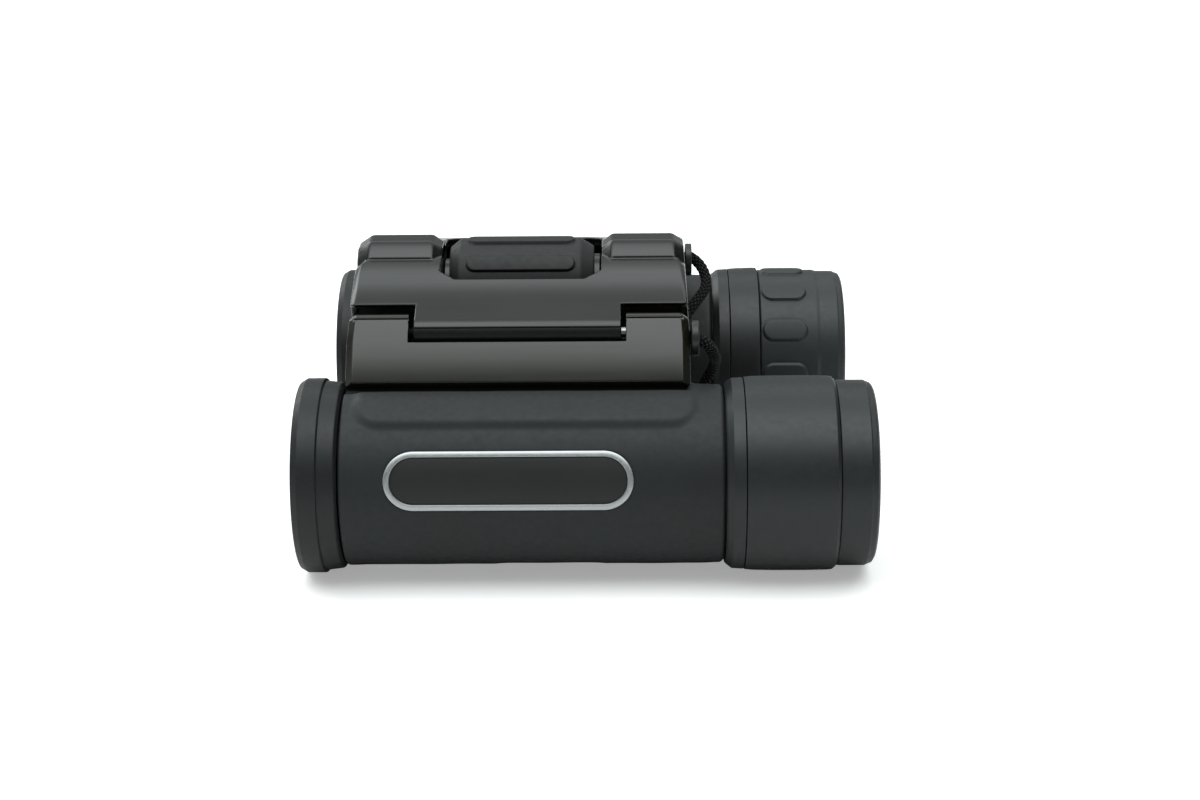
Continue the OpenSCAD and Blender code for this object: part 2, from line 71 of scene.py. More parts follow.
# ------------------------------------------------------------------ camera
def camera():
    pitch, yaw, roll = 0.3537338, -0.0147580, -0.0108596
    fw = Vector((math.sin(yaw) * math.cos(pitch), math.cos(yaw) * math.cos(pitch), -math.sin(pitch)))
    right = Vector((math.cos(yaw), -math.sin(yaw), 0.0))
    up = right.cross(fw)
    r = right * math.cos(roll) + up * math.sin(roll)
    u = -right * math.sin(roll) + up * math.cos(roll)
    data = bpy.data.cameras.new("Camera")
    data.lens = 2242.16 / 1200.0 * 36.0
    data.sensor_width = 36.0
    data.clip_start = 0.01
    data.clip_end = 50.0
    cam = bpy.data.objects.new("Camera", data)
    bpy.context.scene.collection.objects.link(cam)
    loc = Vector((7.2144, -366.5002, 152.7096)) * MM
    cam.matrix_world = Matrix(((r.x, u.x, -fw.x, loc.x), (r.y, u.y, -fw.y, loc.y), (r.z, u.z, -fw.z, loc.z), (0, 0, 0, 1)))
    bpy.context.scene.camera = cam
    return cam


camera()


# ------------------------------------------------------------------ material helpers
class Nodes:
    """A small builder for node trees."""

    def __init__(self, name):
        self.mat = bpy.data.materials.new(name)
        self.mat.use_nodes = True
        self.t = self.mat.node_tree
        self.t.nodes.clear()
        self.out = self.t.nodes.new("ShaderNodeOutputMaterial")
        self.bsdf = self.t.nodes.new("ShaderNodeBsdfPrincipled")
        self.t.links.new(self.bsdf.outputs[0], self.out.inputs[0])

    def node(self, kind, **props):
        n = self.t.nodes.new(kind)
        for k, v in props.items():
            setattr(n, k, v)
        return n

    def link(self, a, b):
        self.t.links.new(a, b)

    def put(self, socket, value):
        if isinstance(value, bpy.types.NodeSocket):
            self.link(value, socket)
        else:
            socket.default_value = value

    def math(self, op, a, b=0.0, c=0.0, clamp=False):
        n = self.node("ShaderNodeMath", operation=op, use_clamp=clamp)
        self.put(n.inputs[0], a)
        self.put(n.inputs[1], b)
        self.put(n.inputs[2], c)
        return n.outputs[0]

    def coord(self):
        return self.node("ShaderNodeTexCoord").outputs["Object"]

    def scaled(self, v, s):
        n = self.node("ShaderNodeVectorMath", operation="MULTIPLY")
        self.put(n.inputs[0], v)
        n.inputs[1].default_value = s
        return n.outputs[0]

    def noise(self, vec, scale, detail=3.0, rough=0.55, distortion=0.0):
        n = self.node("ShaderNodeTexNoise")
        self.link(vec, n.inputs["Vector"])
        n.inputs["Scale"].default_value = scale
        n.inputs["Detail"].default_value = detail
        n.inputs["Roughness"].default_value = rough
        n.inputs["Distortion"].default_value = distortion
        return n.outputs[0]

    def voronoi(self, vec, scale, feature="F1", out="Distance"):
        n = self.node("ShaderNodeTexVoronoi", feature=feature)
        self.link(vec, n.inputs["Vector"])
        n.inputs["Scale"].default_value = scale
        return n.outputs[out]

    def ramp(self, value, lo, hi, a, b):
        n = self.node("ShaderNodeMapRange", clamp=True)
        self.link(value, n.inputs["Value"])
        n.inputs["From Min"].default_value = lo
        n.inputs["From Max"].default_value = hi
        n.inputs["To Min"].default_value = a
        n.inputs["To Max"].default_value = b
        return n.outputs["Result"]

    def mix(self, fac, a, b):
        n = self.node("ShaderNodeMix", data_type="RGBA")
        self.put(n.inputs[0], fac)
        for s, v in ((n.inputs[6], a), (n.inputs[7], b)):
            self.put(s, v if isinstance(v, bpy.types.NodeSocket) else (v[0], v[1], v[2], 1.0))
        return n.outputs[2]

    def bump(self, height, strength, dist, normal=None):
        n = self.node("ShaderNodeBump")
        n.inputs["Strength"].default_value = strength
        n.inputs["Distance"].default_value = dist
        self.link(height, n.inputs["Height"])
        if normal is not None:
            self.link(normal, n.inputs["Normal"])
        return n.outputs[0]

    def attr(self, name):
        return self.node("ShaderNodeAttribute", attribute_type="GEOMETRY", attribute_name=name).outputs["Fac"]


def set_in(bsdf, **kw):
    for k, v in kw.items():
        bsdf.inputs[k.replace("_", " ")].default_value = v


def rubber(name, base, rough=0.56, spec=0.5, grain=0.010, grain_scale=5200.0, mottle=0.18, dust=0.0):
    """Moulded rubber: fine grain, faint mottling, a little roughness variation."""
    m = Nodes(name)
    co = m.coord()
    big = m.noise(co, 70.0, 4.0, 0.6)
    mid = m.noise(co, 900.0, 3.0, 0.6)
    fine = m.noise(co, grain_scale, 2.0, 0.6)
    dark = [c * (1 - mottle) for c in base]
    light = [c * (1 + mottle) for c in base]
    c1 = m.mix(m.ramp(big, 0.32, 0.68, 0.0, 1.0), dark, light)
    speck = m.ramp(fine, 0.58, 0.74, 0.0, 1.0)
    c2 = m.mix(m.math("MULTIPLY", speck, 0.35), c1, [c * 1.9 for c in base])
    m.link(c2, m.bsdf.inputs["Base Color"])
    r = m.math("ADD", m.ramp(mid, 0.3, 0.7, rough - 0.05, rough + 0.05), m.ramp(big, 0.3, 0.7, -0.02, 0.02))
    m.link(r, m.bsdf.inputs["Roughness"])
    b1 = m.bump(mid, 0.25, 0.00002)
    b2 = m.bump(fine, 0.55, grain * MM, b1)
    m.link(b2, m.bsdf.inputs["Normal"])
    m.bsdf.inputs["Specular IOR Level"].default_value = spec
    return m


def gloss(name, base, rough=0.3, spec=0.5, coat=0.0, metallic=0.0, peel=0.004, peel_scale=420.0, mottle=0.1, fine_b=0.0015):
    """Painted or polished moulded surface: orange peel, faint micro scratches in the roughness."""
    m = Nodes(name)
    co = m.coord()
    big = m.noise(co, 55.0, 3.0, 0.5)
    peel_n = m.noise(co, peel_scale, 2.0, 0.5)
    micro = m.noise(co, 6000.0, 2.0, 0.6)
    scr = m.noise(m.scaled(co, (60.0, 1500.0, 1500.0)), 1.0, 3.0, 0.6)
    c = m.mix(m.ramp(big, 0.3, 0.7, 0.0, 1.0), [v * (1 - mottle) for v in base], [v * (1 + mottle) for v in base])
    sp = m.ramp(micro, 0.62, 0.78, 0.0, 0.5)
    c = m.mix(sp, c, [v * 1.7 for v in base])
    m.link(c, m.bsdf.inputs["Base Color"])
    r = m.math("ADD", m.ramp(scr, 0.35, 0.75, rough - 0.03, rough + 0.05), m.ramp(big, 0.3, 0.7, -0.02, 0.02))
    m.link(r, m.bsdf.inputs["Roughness"])
    b = m.bump(peel_n, 0.5, peel * MM)
    b = m.bump(micro, 0.4, fine_b * MM, b)
    m.link(b, m.bsdf.inputs["Normal"])
    m.bsdf.inputs["Specular IOR Level"].default_value = spec
    m.bsdf.inputs["Metallic"].default_value = metallic
    m.bsdf.inputs["Coat Weight"].default_value = coat
    m.bsdf.inputs["Coat Roughness"].default_value = 0.12
    return m


def metal(name, base, rough=0.25, turned=(1.0, 0.0, 0.0), line_scale=9000.0):
    """Turned or brushed metal: fine rings across one direction."""
    m = Nodes(name)
    co = m.coord()
    v = m.scaled(co, tuple(line_scale * t if t else 120.0 for t in turned))
    lines = m.noise(v, 1.0, 2.0, 0.6)
    big = m.noise(co, 130.0, 3.0, 0.5)
    c = m.mix(m.ramp(lines, 0.3, 0.7, 0.0, 1.0), [x * 0.86 for x in base], base)
    m.link(c, m.bsdf.inputs["Base Color"])
    m.link(m.math("ADD", m.ramp(lines, 0.3, 0.7, rough - 0.06, rough + 0.08), m.ramp(big, 0.3, 0.7, -0.03, 0.03)), m.bsdf.inputs["Roughness"])
    m.link(m.bump(lines, 0.35, 0.002 * MM), m.bsdf.inputs["Normal"])
    m.bsdf.inputs["Metallic"].default_value = 1.0
    return m


def glass(name, tint, coat_col, body):
    """Coated lens glass: a tinted reflection over clear glass that looks into a dark barrel."""
    m = Nodes(name)
    co = m.coord()
    n = m.noise(co, 60.0, 3.0, 0.5)
    c = m.mix(m.ramp(n, 0.3, 0.7, 0.0, 0.35), body, tint)
    m.link(c, m.bsdf.inputs["Base Color"])
    m.bsdf.inputs["Specular Tint"].default_value = (*coat_col, 1.0)
    m.link(m.ramp(n, 0.3, 0.7, 0.02, 0.05), m.bsdf.inputs["Roughness"])
    m.bsdf.inputs["IOR"].default_value = 1.6
    m.bsdf.inputs["Specular IOR Level"].default_value = 0.9
    m.bsdf.inputs["Transmission Weight"].default_value = 0.96
    return m


M_RUBBER = rubber("armour_rubber", [0.0078, 0.0094, 0.0100], rough=0.58, spec=0.42, grain=0.016, grain_scale=3600.0)
M_RIM = rubber("rim_rubber", [0.0100, 0.0118, 0.0122], rough=0.45, spec=0.47, grain=0.004, mottle=0.12)
# painted light: a lighter copy of the rim rubber for the dioptre grip, for the light from the right and behind
M_GRIP_LIT = rubber("grip_rubber_painted_light", [0.0210, 0.0245, 0.0250], rough=0.46, spec=0.40, grain=0.004, mottle=0.12)
# painted shade: a darker copy of the rim rubber for the objective rims, for the dimmer light at the objective end
M_NOSE_SHADED = rubber("nose_rubber_painted_shade", [0.0076, 0.0090, 0.0093], rough=0.46, spec=0.38, grain=0.004, mottle=0.12)
M_WHEEL = rubber("wheel_rubber", [0.0078, 0.0094, 0.0092], rough=0.58, spec=0.46, grain=0.004, mottle=0.12)
M_COVER = gloss("bridge_gloss", [0.0040, 0.0048, 0.0046], rough=0.2, spec=0.54)
M_ARM = gloss("arm_paint", [0.0056, 0.0056, 0.0024], rough=0.2, spec=0.56, peel=0.002)
M_MATT = rubber("matt_black", [0.006, 0.006, 0.0062], rough=0.6, spec=0.3, grain=0.004)
M_MECH = rubber("inner_black", [0.006, 0.006, 0.0062], rough=0.55, spec=0.3, grain=0.003)
M_LUG = gloss("lug_paint", [0.010, 0.011, 0.0105], rough=0.38, spec=0.5, peel=0.002)
M_STEEL = metal("pin_steel", [0.62, 0.63, 0.64], 0.22)
# painted shade: a darker, rougher copy of the screws' steel, which dims the pin's highlight
M_PIN = metal("pin_steel_painted_shade", [0.36, 0.37, 0.38], 0.28)
M_BRASS = metal("bush_brass", [0.66, 0.5, 0.24], 0.28)
M_ALU = metal("black_anodised", [0.05, 0.05, 0.055], 0.35)
M_SILVER = metal("badge_silver", [0.50, 0.515, 0.525], 0.42, turned=(1.0, 1.0, 1.0), line_scale=2600.0)
M_FIELD = gloss("badge_field", [0.0105, 0.0115, 0.0118], rough=0.5, spec=0.42, peel=0.004)
M_LENS = glass("lens_glass", [0.75, 0.7, 0.95], [0.55, 0.35, 0.95], [0.9, 0.92, 0.98])
M_PRISM = glass("prism_glass", [0.85, 0.95, 0.95], [0.9, 0.95, 1.0], [0.95, 0.98, 0.98])
M_KNUCKLE = rubber("knuckle_black", [0.0030, 0.0036, 0.0035], rough=0.40, spec=0.28, grain=0.003)
M_TIE = rubber("tie_rubber", [0.012, 0.012, 0.0125], rough=0.5, spec=0.4, grain=0.004)


def paint_pin_shade(m):
    """Painted shade: the hinge pins are painted near black but for the run that turns in the rear ears, so the pin
    shows no highlight in the gap by the front ears.
    """
    f = m.attr("black")
    src = m.bsdf.inputs["Base Color"].links[0].from_socket
    # painted shade: near black over the masked part of the pin
    m.link(m.mix(f, src, [0.012, 0.012, 0.012]), m.bsdf.inputs["Base Color"])
    rs = m.bsdf.inputs["Roughness"].links[0].from_socket
    m.link(m.math("ADD", rs, m.math("MULTIPLY", f, 0.3)), m.bsdf.inputs["Roughness"])


paint_pin_shade(M_PIN)


def paint_pit_shade(m):
    """Painted shade: the deep strip of the armour along the arm's foot is painted near black, with more roughness."""
    f = m.attr("pit_shade")
    src = m.bsdf.inputs["Base Color"].links[0].from_socket
    # painted shade: the masked strip is mixed towards near black
    m.link(m.mix(f, src, [0.0012, 0.0012, 0.0012]), m.bsdf.inputs["Base Color"])
    rs = m.bsdf.inputs["Roughness"].links[0].from_socket
    m.link(m.math("ADD", rs, m.math("MULTIPLY", f, 0.4)), m.bsdf.inputs["Roughness"])


paint_pit_shade(M_RUBBER)


# ------------------------------------------------------------------ mesh helpers
def add_mesh(name, verts, faces, mat, body, nodes=(), loop_normals=None, vert_normals=None, sharp=None, uv=None, attrs=None):
    """verts in mm. faces as an array of quads or a list of tuples."""
    me = bpy.data.meshes.new(name)
    v = np.asarray(verts, dtype=np.float64) * MM
    if isinstance(faces, np.ndarray):
        me.vertices.add(len(v))
        me.vertices.foreach_set("co", v.astype(np.float32).ravel())
        k = faces.shape[1]
        me.loops.add(faces.size)
        me.loops.foreach_set("vertex_index", faces.astype(np.int32).ravel())
        me.polygons.add(len(faces))
        me.polygons.foreach_set("loop_start", (np.arange(len(faces)) * k).astype(np.int32))
        me.update(calc_edges=True)
    else:
        me.from_pydata([tuple(p) for p in v], [], [tuple(int(i) for i in f) for f in faces])
        me.update()
    me.polygons.foreach_set("use_smooth", [True] * len(me.polygons))
    if attrs:
        for k, a in attrs.items():
            at = me.attributes.new(k, "FLOAT", "POINT")
            at.data.foreach_set("value", np.asarray(a, dtype=np.float32))
    if uv is not None:
        layer = me.uv_layers.new(name="lay")
        layer.data.foreach_set("uv", np.asarray(uv, dtype=np.float32).ravel())
    if loop_normals is not None:
        me.normals_split_custom_set(np.asarray(loop_normals, dtype=np.float32).reshape(-1, 3).tolist())
    elif vert_normals is not None:
        me.normals_split_custom_set_from_vertices(np.asarray(vert_normals, dtype=np.float32).tolist())
    elif sharp is not None:
        me.set_sharp_from_angle(angle=math.radians(sharp))
    me.materials.append(mat.mat if isinstance(mat, Nodes) else mat)
    ob = bpy.data.objects.new(name, me)
    bpy.context.scene.collection.objects.link(ob)
    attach(ob, body)
    if nodes:
        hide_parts(*nodes)
    return ob


def fillet_profile(pts, seg=5):
    """A closed loop of (x, r, fillet) -> points, and the normals before and after each point."""
    P = [np.array(p[:2], dtype=float) for p in pts]
    rad = [p[2] if len(p) > 2 else 0.0 for p in pts]
    n = len(P)
    area = sum(P[i][0] * P[(i + 1) % n][1] - P[(i + 1) % n][0] * P[i][1] for i in range(n)) / 2
    if area < 0:
        P.reverse()
        rad.reverse()
    out = []
    for i in range(n):
        a, b, c = P[i - 1], P[i], P[(i + 1) % n]
        d0 = (b - a) / np.linalg.norm(b - a)
        d1 = (c - b) / np.linalg.norm(c - b)
        n0 = np.array([d0[1], -d0[0]])
        n1 = np.array([d1[1], -d1[0]])
        r = rad[i]
        turn = d0[0] * d1[1] - d0[1] * d1[0]
        dot = float(np.clip(d0 @ d1, -1, 1))
        ang = math.acos(dot)
        if r <= 0 or ang < 0.02:
            out.append((b, n0, n1))
            continue
        t = r * math.tan(ang / 2)
        t = min(t, 0.49 * np.linalg.norm(b - a), 0.49 * np.linalg.norm(c - b))
        r = t / math.tan(ang / 2)
        s = 1.0 if turn > 0 else -1.0
        p0 = b - d0 * t
        cen = p0 - n0 * r * s
        k = max(2, int(math.ceil(seg * ang / (math.pi / 2))))
        a0 = math.atan2(*(p0 - cen)[::-1])
        for j in range(k + 1):
            aa = a0 + s * ang * j / k
            e = np.array([math.cos(aa), math.sin(aa)])
            out.append((cen + r * e, e * s, e * s))
    return out


def lathe(name, pts, mat, body, nodes=(), y=0.0, z=RZ, n=192, seg=5, ripple=None):
    """Solid of revolution about X through (y, z)."""
    prof = fillet_profile(pts, seg)
    m = len(prof)
    ang = np.arange(n) * 2 * np.pi / n
    ca, sa = np.cos(ang), np.sin(ang)
    verts, first, single = [], [], []
    for p, _, _ in prof:
        first.append(len(verts))
        if p[1] < 1e-6:
            single.append(True)
            verts.append((p[0], y, z))
        else:
            single.append(False)
            verts.extend(zip([p[0]] * n, y + p[1] * ca, z + p[1] * sa))
    faces, norms = [], []

    def nv(nn, k):
        return (nn[0], nn[1] * ca[k % n], nn[1] * sa[k % n])

    for i in range(m):
        j = (i + 1) % m
        if single[i] and single[j]:
            continue
        ni, nj = prof[i][2], prof[j][1]
        for k in range(n):
            k2 = (k + 1) % n
            if single[i]:
                faces.append((first[i], first[j] + k, first[j] + k2))
                norms += [nv(ni, k), nv(nj, k), nv(nj, k2)]
            elif single[j]:
                faces.append((first[i] + k, first[j], first[i] + k2))
                norms += [nv(ni, k), nv(nj, k), nv(ni, k2)]
            else:
                faces.append((first[i] + k, first[j] + k, first[j] + k2, first[i] + k2))
                norms += [nv(ni, k), nv(nj, k), nv(nj, k2), nv(ni, k2)]
    verts = np.array(verts)
    if ripple:
        verts = ripple(verts)
    return add_mesh(name, verts, faces, mat, body, nodes, loop_normals=norms)


def smooth(t):
    t = np.clip(t, 0.0, 1.0)
    return t * t * t * (t * (t * 6 - 15) + 10)


def stadium_sd(dx, ds, l, w):
    """Signed distance to a stadium of length l and width w centred on 0."""
    q = np.maximum(np.abs(dx) - (l - w) / 2, 0.0)
    return np.hypot(q, ds) - w / 2


def rrect_sd(dx, ds, hx, hs, r):
    qx = np.abs(dx) - (hx - r)
    qs = np.abs(ds) - (hs - r)
    return np.hypot(np.maximum(qx, 0), np.maximum(qs, 0)) + np.minimum(np.maximum(qx, qs), 0) - r


def radial(name, outer, inner, n, func, mat, body, nodes, y, z=RZ, seg=4, th=None, sharp=42, step=0.25, lim=None):
    """Closed surface about X. outer is a profile from low to high X, whose long runs are split and
    then pushed out by func(x, angle); inner closes the loop from high to low X."""
    prof = fillet_profile(list(outer) + list(inner), seg)
    pts = [p for p, _, _ in prof]
    if lim is None:
        lim = min(q[1] for q in outer) - 0.8
    dense = []
    for i in range(len(pts)):
        a, b = pts[i], pts[(i + 1) % len(pts)]
        dense.append(a)
        top = min(a[1], b[1]) > lim
        if top:
            k = int(abs(b[0] - a[0]) / step)
            for j in range(1, k):
                dense.append(a + (b - a) * j / k)
    D = np.array(dense)
    if th is None:
        th = np.arange(n) * 2 * np.pi / n
    n = len(th)
    X = np.repeat(D[:, :1], n, axis=1)
    R = np.repeat(D[:, 1:2], n, axis=1)
    T = np.repeat(th[None, :], len(D), axis=0)
    w = (R > lim).astype(float)
    R = R + w * func(X, T, R)
    V = np.stack([X, y + R * np.cos(T), z + R * np.sin(T)], -1).reshape(-1, 3)
    m = len(D)
    i = np.arange(m)[:, None]
    k = np.arange(n)[None, :]
    i2, k2 = (i + 1) % m, (k + 1) % n
    F = np.stack([i * n + k, i2 * n + k, i2 * n + k2, i * n + k2], -1).reshape(-1, 4)
    return add_mesh(name, V, F, mat, body, nodes, sharp=sharp)


# ---- signed distance fields ----
def imax(a, b, r):
    """Intersection with a rounded edge."""
    u, v = np.maximum(r + a, 0.0), np.maximum(r + b, 0.0)
    return np.minimum(-r, np.maximum(a, b)) + np.hypot(u, v)


def umin(a, b, r):
    """Union with a filleted corner."""
    return -imax(-a, -b, r)


def cut(a, b, r):
    return imax(a, -b, r)


def poly_sd(x, y, pts):
    """Signed distance to a closed polygon, negative inside."""
    d = np.full(x.shape, 1e9)
    s = np.ones(x.shape)
    n = len(pts)
    for i in range(n):
        ax, ay = pts[i]
        bx, by = pts[i - 1]
        ex, ey = bx - ax, by - ay
        wx, wy = x - ax, y - ay
        t = np.clip((wx * ex + wy * ey) / (ex * ex + ey * ey), 0, 1)
        px_, py_ = wx - ex * t, wy - ey * t
        d = np.minimum(d, px_ * px_ + py_ * py_)
        c1, c2, c3 = y >= ay, y < by, ex * wy > ey * wx
        s = np.where((c1 & c2 & c3) | (~c1 & ~c2 & ~c3), -s, s)
    return s * np.sqrt(d)


def box_sd(x, y, z, lo, hi):
    c = [(a + b) / 2 for a, b in zip(lo, hi)]
    h = [(b - a) / 2 for a, b in zip(lo, hi)]
    q = [np.abs(p - cc) - hh for p, cc, hh in zip((x, y, z), c, h)]
    out = np.sqrt(sum(np.maximum(v, 0) ** 2 for v in q))
    return out + np.minimum(np.maximum(np.maximum(q[0], q[1]), q[2]), 0)


def surface(name, f, lo, hi, h, mat, body, nodes, extra=None, eps=0.02, iters=4):
    """A closed quad mesh of f = 0 by surface nets on a sparse grid; its points are then moved on to
    the surface, and its normals are the field's own."""
    lo = np.array(lo, float)
    hi = np.array(hi, float)
    B = 4
    nb = np.ceil((hi - lo) / (h * B)).astype(int) + 1
    g = [lo[a] + (np.arange(nb[a]) * B + (B - 1) / 2) * h for a in range(3)]
    CX, CY, CZ = np.meshgrid(*g, indexing="ij")
    fc = f(CX.ravel(), CY.ravel(), CZ.ravel()).reshape(nb)
    act = np.abs(fc) < (B * h * 0.9 + h)
    N = nb * B
    F = np.repeat(np.repeat(np.repeat(fc, B, 0), B, 1), B, 2)
    bi = np.argwhere(act)
    off = np.stack(np.meshgrid(range(B), range(B), range(B), indexing="ij"), -1).reshape(-1, 3)
    idx = (bi[:, None, :] * B + off[None]).reshape(-1, 3)
    P = lo + idx * h
    F[idx[:, 0], idx[:, 1], idx[:, 2]] = f(P[:, 0], P[:, 1], P[:, 2])
    S = F < 0
    c = S[:-1, :-1, :-1].astype(np.int8)
    tot = np.zeros(c.shape, np.int8)
    for dx in (0, 1):
        for dy in (0, 1):
            for dz in (0, 1):
                tot += S[dx:N[0] - 1 + dx, dy:N[1] - 1 + dy, dz:N[2] - 1 + dz]
    cells = np.argwhere((tot > 0) & (tot < 8))
    ids = np.full(tot.shape, -1, np.int32)
    ids[cells[:, 0], cells[:, 1], cells[:, 2]] = np.arange(len(cells))
    acc = np.zeros((len(cells), 3))
    cnt = np.zeros(len(cells))
    corners = [(a, b, d) for a in (0, 1) for b in (0, 1) for d in (0, 1)]
    vals = {q: F[cells[:, 0] + q[0], cells[:, 1] + q[1], cells[:, 2] + q[2]] for q in corners}
    for q in corners:
        for ax in range(3):
            if q[ax] == 0:
                q2 = tuple(1 if t == ax else q[t] for t in range(3))
                a, b = vals[q], vals[q2]
                m = (a < 0) != (b < 0)
                t = np.clip(a[m] / (a[m] - b[m]), 0, 1)
                p = np.tile(np.array(q, float), (m.sum(), 1))
                p[:, ax] = t
                acc[m] += p
                cnt[m] += 1
    V = lo + (cells + acc / cnt[:, None]) * h
    faces = []
    for ax in range(3):
        a1, a2 = (ax + 1) % 3, (ax + 2) % 3
        sl0 = [slice(None)] * 3
        sl1 = [slice(None)] * 3
        sl0[ax], sl1[ax] = slice(0, -1), slice(1, None)
        s0, s1 = S[tuple(sl0)], S[tuple(sl1)]
        e = np.argwhere(s0 != s1)
        e = e[(e[:, a1] > 0) & (e[:, a2] > 0) & (e[:, a1] < N[a1] - 1) & (e[:, a2] < N[a2] - 1) & (e[:, ax] < N[ax] - 1)]
        q = []
        for d1, d2 in ((-1, -1), (0, -1), (0, 0), (-1, 0)):
            o = e.copy()
            o[:, a1] += d1
            o[:, a2] += d2
            q.append(ids[o[:, 0], o[:, 1], o[:, 2]])
        q = np.stack(q, -1)
        fl = s0[e[:, 0], e[:, 1], e[:, 2]]
        q[~fl] = q[~fl][:, ::-1]
        faces.append(q)
    faces = np.concatenate(faces)
    faces = faces[(faces >= 0).all(1)]

    def grad(v, e):
        gx = f(v[:, 0] + e, v[:, 1], v[:, 2]) - f(v[:, 0] - e, v[:, 1], v[:, 2])
        gy = f(v[:, 0], v[:, 1] + e, v[:, 2]) - f(v[:, 0], v[:, 1] - e, v[:, 2])
        gz = f(v[:, 0], v[:, 1], v[:, 2] + e) - f(v[:, 0], v[:, 1], v[:, 2] - e)
        return np.stack([gx, gy, gz], -1) / (2 * e)

    for _ in range(iters):
        gr = grad(V, eps)
        l2 = np.maximum((gr ** 2).sum(1), 0.2)
        step = -(f(V[:, 0], V[:, 1], V[:, 2]) / l2)[:, None] * gr
        ln = np.linalg.norm(step, axis=1, keepdims=True)
        V = V + step * np.minimum(1.0, 0.7 * h / np.maximum(ln, 1e-9))
    gr = grad(V, eps)
    nrm = gr / np.maximum(np.linalg.norm(gr, axis=1, keepdims=True), 1e-9)
    attrs = {k: fn(V) for k, fn in (extra or {}).items()}
    return add_mesh(name, V, faces, mat, body, nodes, vert_normals=nrm, attrs=attrs)


# ------------------------------------------------------------------ neck cord
CORD_R = [(17.1, 23.7, 36.5), (18.35, 23.3, 36.1), (19.45, 22.5, 35.4), (20.35, 21.1, 34.4), (20.82, 19.2, 33.2), (20.5, 16.9, 32.2),
          (19.5, 14.4, 31.45), (18.35, 12.4, 30.6), (17.35, 10.9, 29.6), (16.6, 9.3, 28.4), (15.9, 7.1, 26.6), (15.2, 4.6, 24), (14.5, 2.5, 20.8),
          (13.7, 1.1, 17), (13.2, 0.3, 12.8), (13.4, -0.3, 8.5), (14.8, -0.7, 4.6),
          (17.5, -1, 1.9), (21.5, -1.2, 1), (27, -1.2, 1), (33, -1.2, 1), (39, -1.2, 1), (44, -1, 1), (47.6, 0.8, 1), (49.4, 4.5, 1),
          (49.7, 10, 1), (49.7, 18, 1), (49.7, 26, 1), (49.7, 34, 1), (49.7, 42, 1), (49.1, 49, 1), (47, 55, 1), (43.2, 60, 1),
          (39.2, 63.6, 1), (36.8, 67, 1), (36, 71, 1)]
CORD_L = [(17.1, -23.8, 36.55), (18.2, -23.35, 36.2), (19.3, -22.2, 35.35), (20.3, -19.6, 33.4), (21.05, -15.2, 30.7), (21.4, -10.6, 28.5),
          (21.35, -6.6, 26.2), (20.9, -4.3, 24.0), (20.2, -3.1, 22.2), (19.5, -2.2, 20.2), (18.8, -1.3, 17), (18.6, -0.5, 12.6), (18.9, 0.2, 8.3),
          (20.2, 0.7, 4.5), (22.8, 1, 1.9),
          (26.5, 1.2, 1), (32, 1.2, 1), (37.5, 1.2, 1), (42, 1.5, 1), (45.6, 3.6, 1), (47.3, 7.5, 1), (47.6, 13, 1), (47.6, 21, 1),
          (47.6, 29, 1), (47.6, 37, 1), (47.2, 44, 1), (45, 49.6, 1.1), (40.8, 53.4, 1.5), (35, 55.5, 2.6), (28.5, 56, 4.1), (22, 56, 4.9)]
COIL_C = (22.0, 70.0)


def coil_points():
    """Just under seven turns: two layers of three, and one on top, from angle 4 to angle 270."""
    stops = [(14, 1), (12, 1), (10, 1), (10, 3), (12, 3), (14, 3), (13, 4.78)]
    out = []
    phi = 12.0
    while phi < 2430 - 4:
        lap, a = divmod(phi, 360.0)
        lap = int(lap)
        r0, z0 = stops[min(lap, 6)]
        if a > 280 and lap < 6:
            r1, z1 = stops[lap + 1]
            t = float(smooth(np.array((min(a, 350) - 280) / 70.0)))
            lift = 0.0
            if lap == 5:      # over the strand that comes outwards below it
                lift = 0.35 * math.sin(math.pi * t)
            r0, z0 = r0 + (r1 - r0) * t + lift * 0.6, z0 + (z1 - z0) * min(1.0, 1.35 * t if lap == 5 else t)
        if lap == 6 and a > 190:
            t = float(smooth(np.array((a - 190) / 80.0)))
            r0, z0 = 13 + t, 4.78 + 0.12 * t
        th = math.radians(phi)
        out.append((COIL_C[0] + r0 * math.cos(th), COIL_C[1] + r0 * math.sin(th), z0))
        phi += 12.0
    return out


def catmull(P, step):
    """A smooth curve through P, resampled at about step."""
    P = np.array(P, float)
    P = np.concatenate([[2 * P[0] - P[1]], P, [2 * P[-1] - P[-2]]])
    out = []
    for i in range(1, len(P) - 2):
        p0, p1, p2, p3 = P[i - 1:i + 3]
        t0 = 0.0
        t1 = t0 + np.linalg.norm(p1 - p0) ** 0.5
        t2 = t1 + np.linalg.norm(p2 - p1) ** 0.5
        t3 = t2 + np.linalg.norm(p3 - p2) ** 0.5
        k = 24
        t = t1 + (t2 - t1) * np.arange(k)[:, None] / k
        a1 = (t1 - t) / (t1 - t0) * p0 + (t - t0) / (t1 - t0) * p1
        a2 = (t2 - t) / (t2 - t1) * p1 + (t - t1) / (t2 - t1) * p2
        a3 = (t3 - t) / (t3 - t2) * p2 + (t - t2) / (t3 - t2) * p3
        b1 = (t2 - t) / (t2 - t0) * a1 + (t - t0) / (t2 - t0) * a2
        b2 = (t3 - t) / (t3 - t1) * a2 + (t - t1) / (t3 - t1) * a3
        out.append((t2 - t) / (t2 - t1) * b1 + (t - t1) / (t2 - t1) * b2)
    out.append(P[-2][None])
    C = np.concatenate(out)
    L = np.concatenate([[0], np.cumsum(np.linalg.norm(np.diff(C, axis=0), axis=1))])
    s = [0.0]
    while s[-1] < L[-1]:
        s.append(s[-1] + (step(s[-1], L[-1]) if callable(step) else step))
    s = np.array(s[:-1] + [L[-1]])
    return np.stack([np.interp(s, L, C[:, a]) for a in range(3)], -1), s


BRAID_N, BRAID_L = 7, 7.8       # carriers each way, and the lead in mm


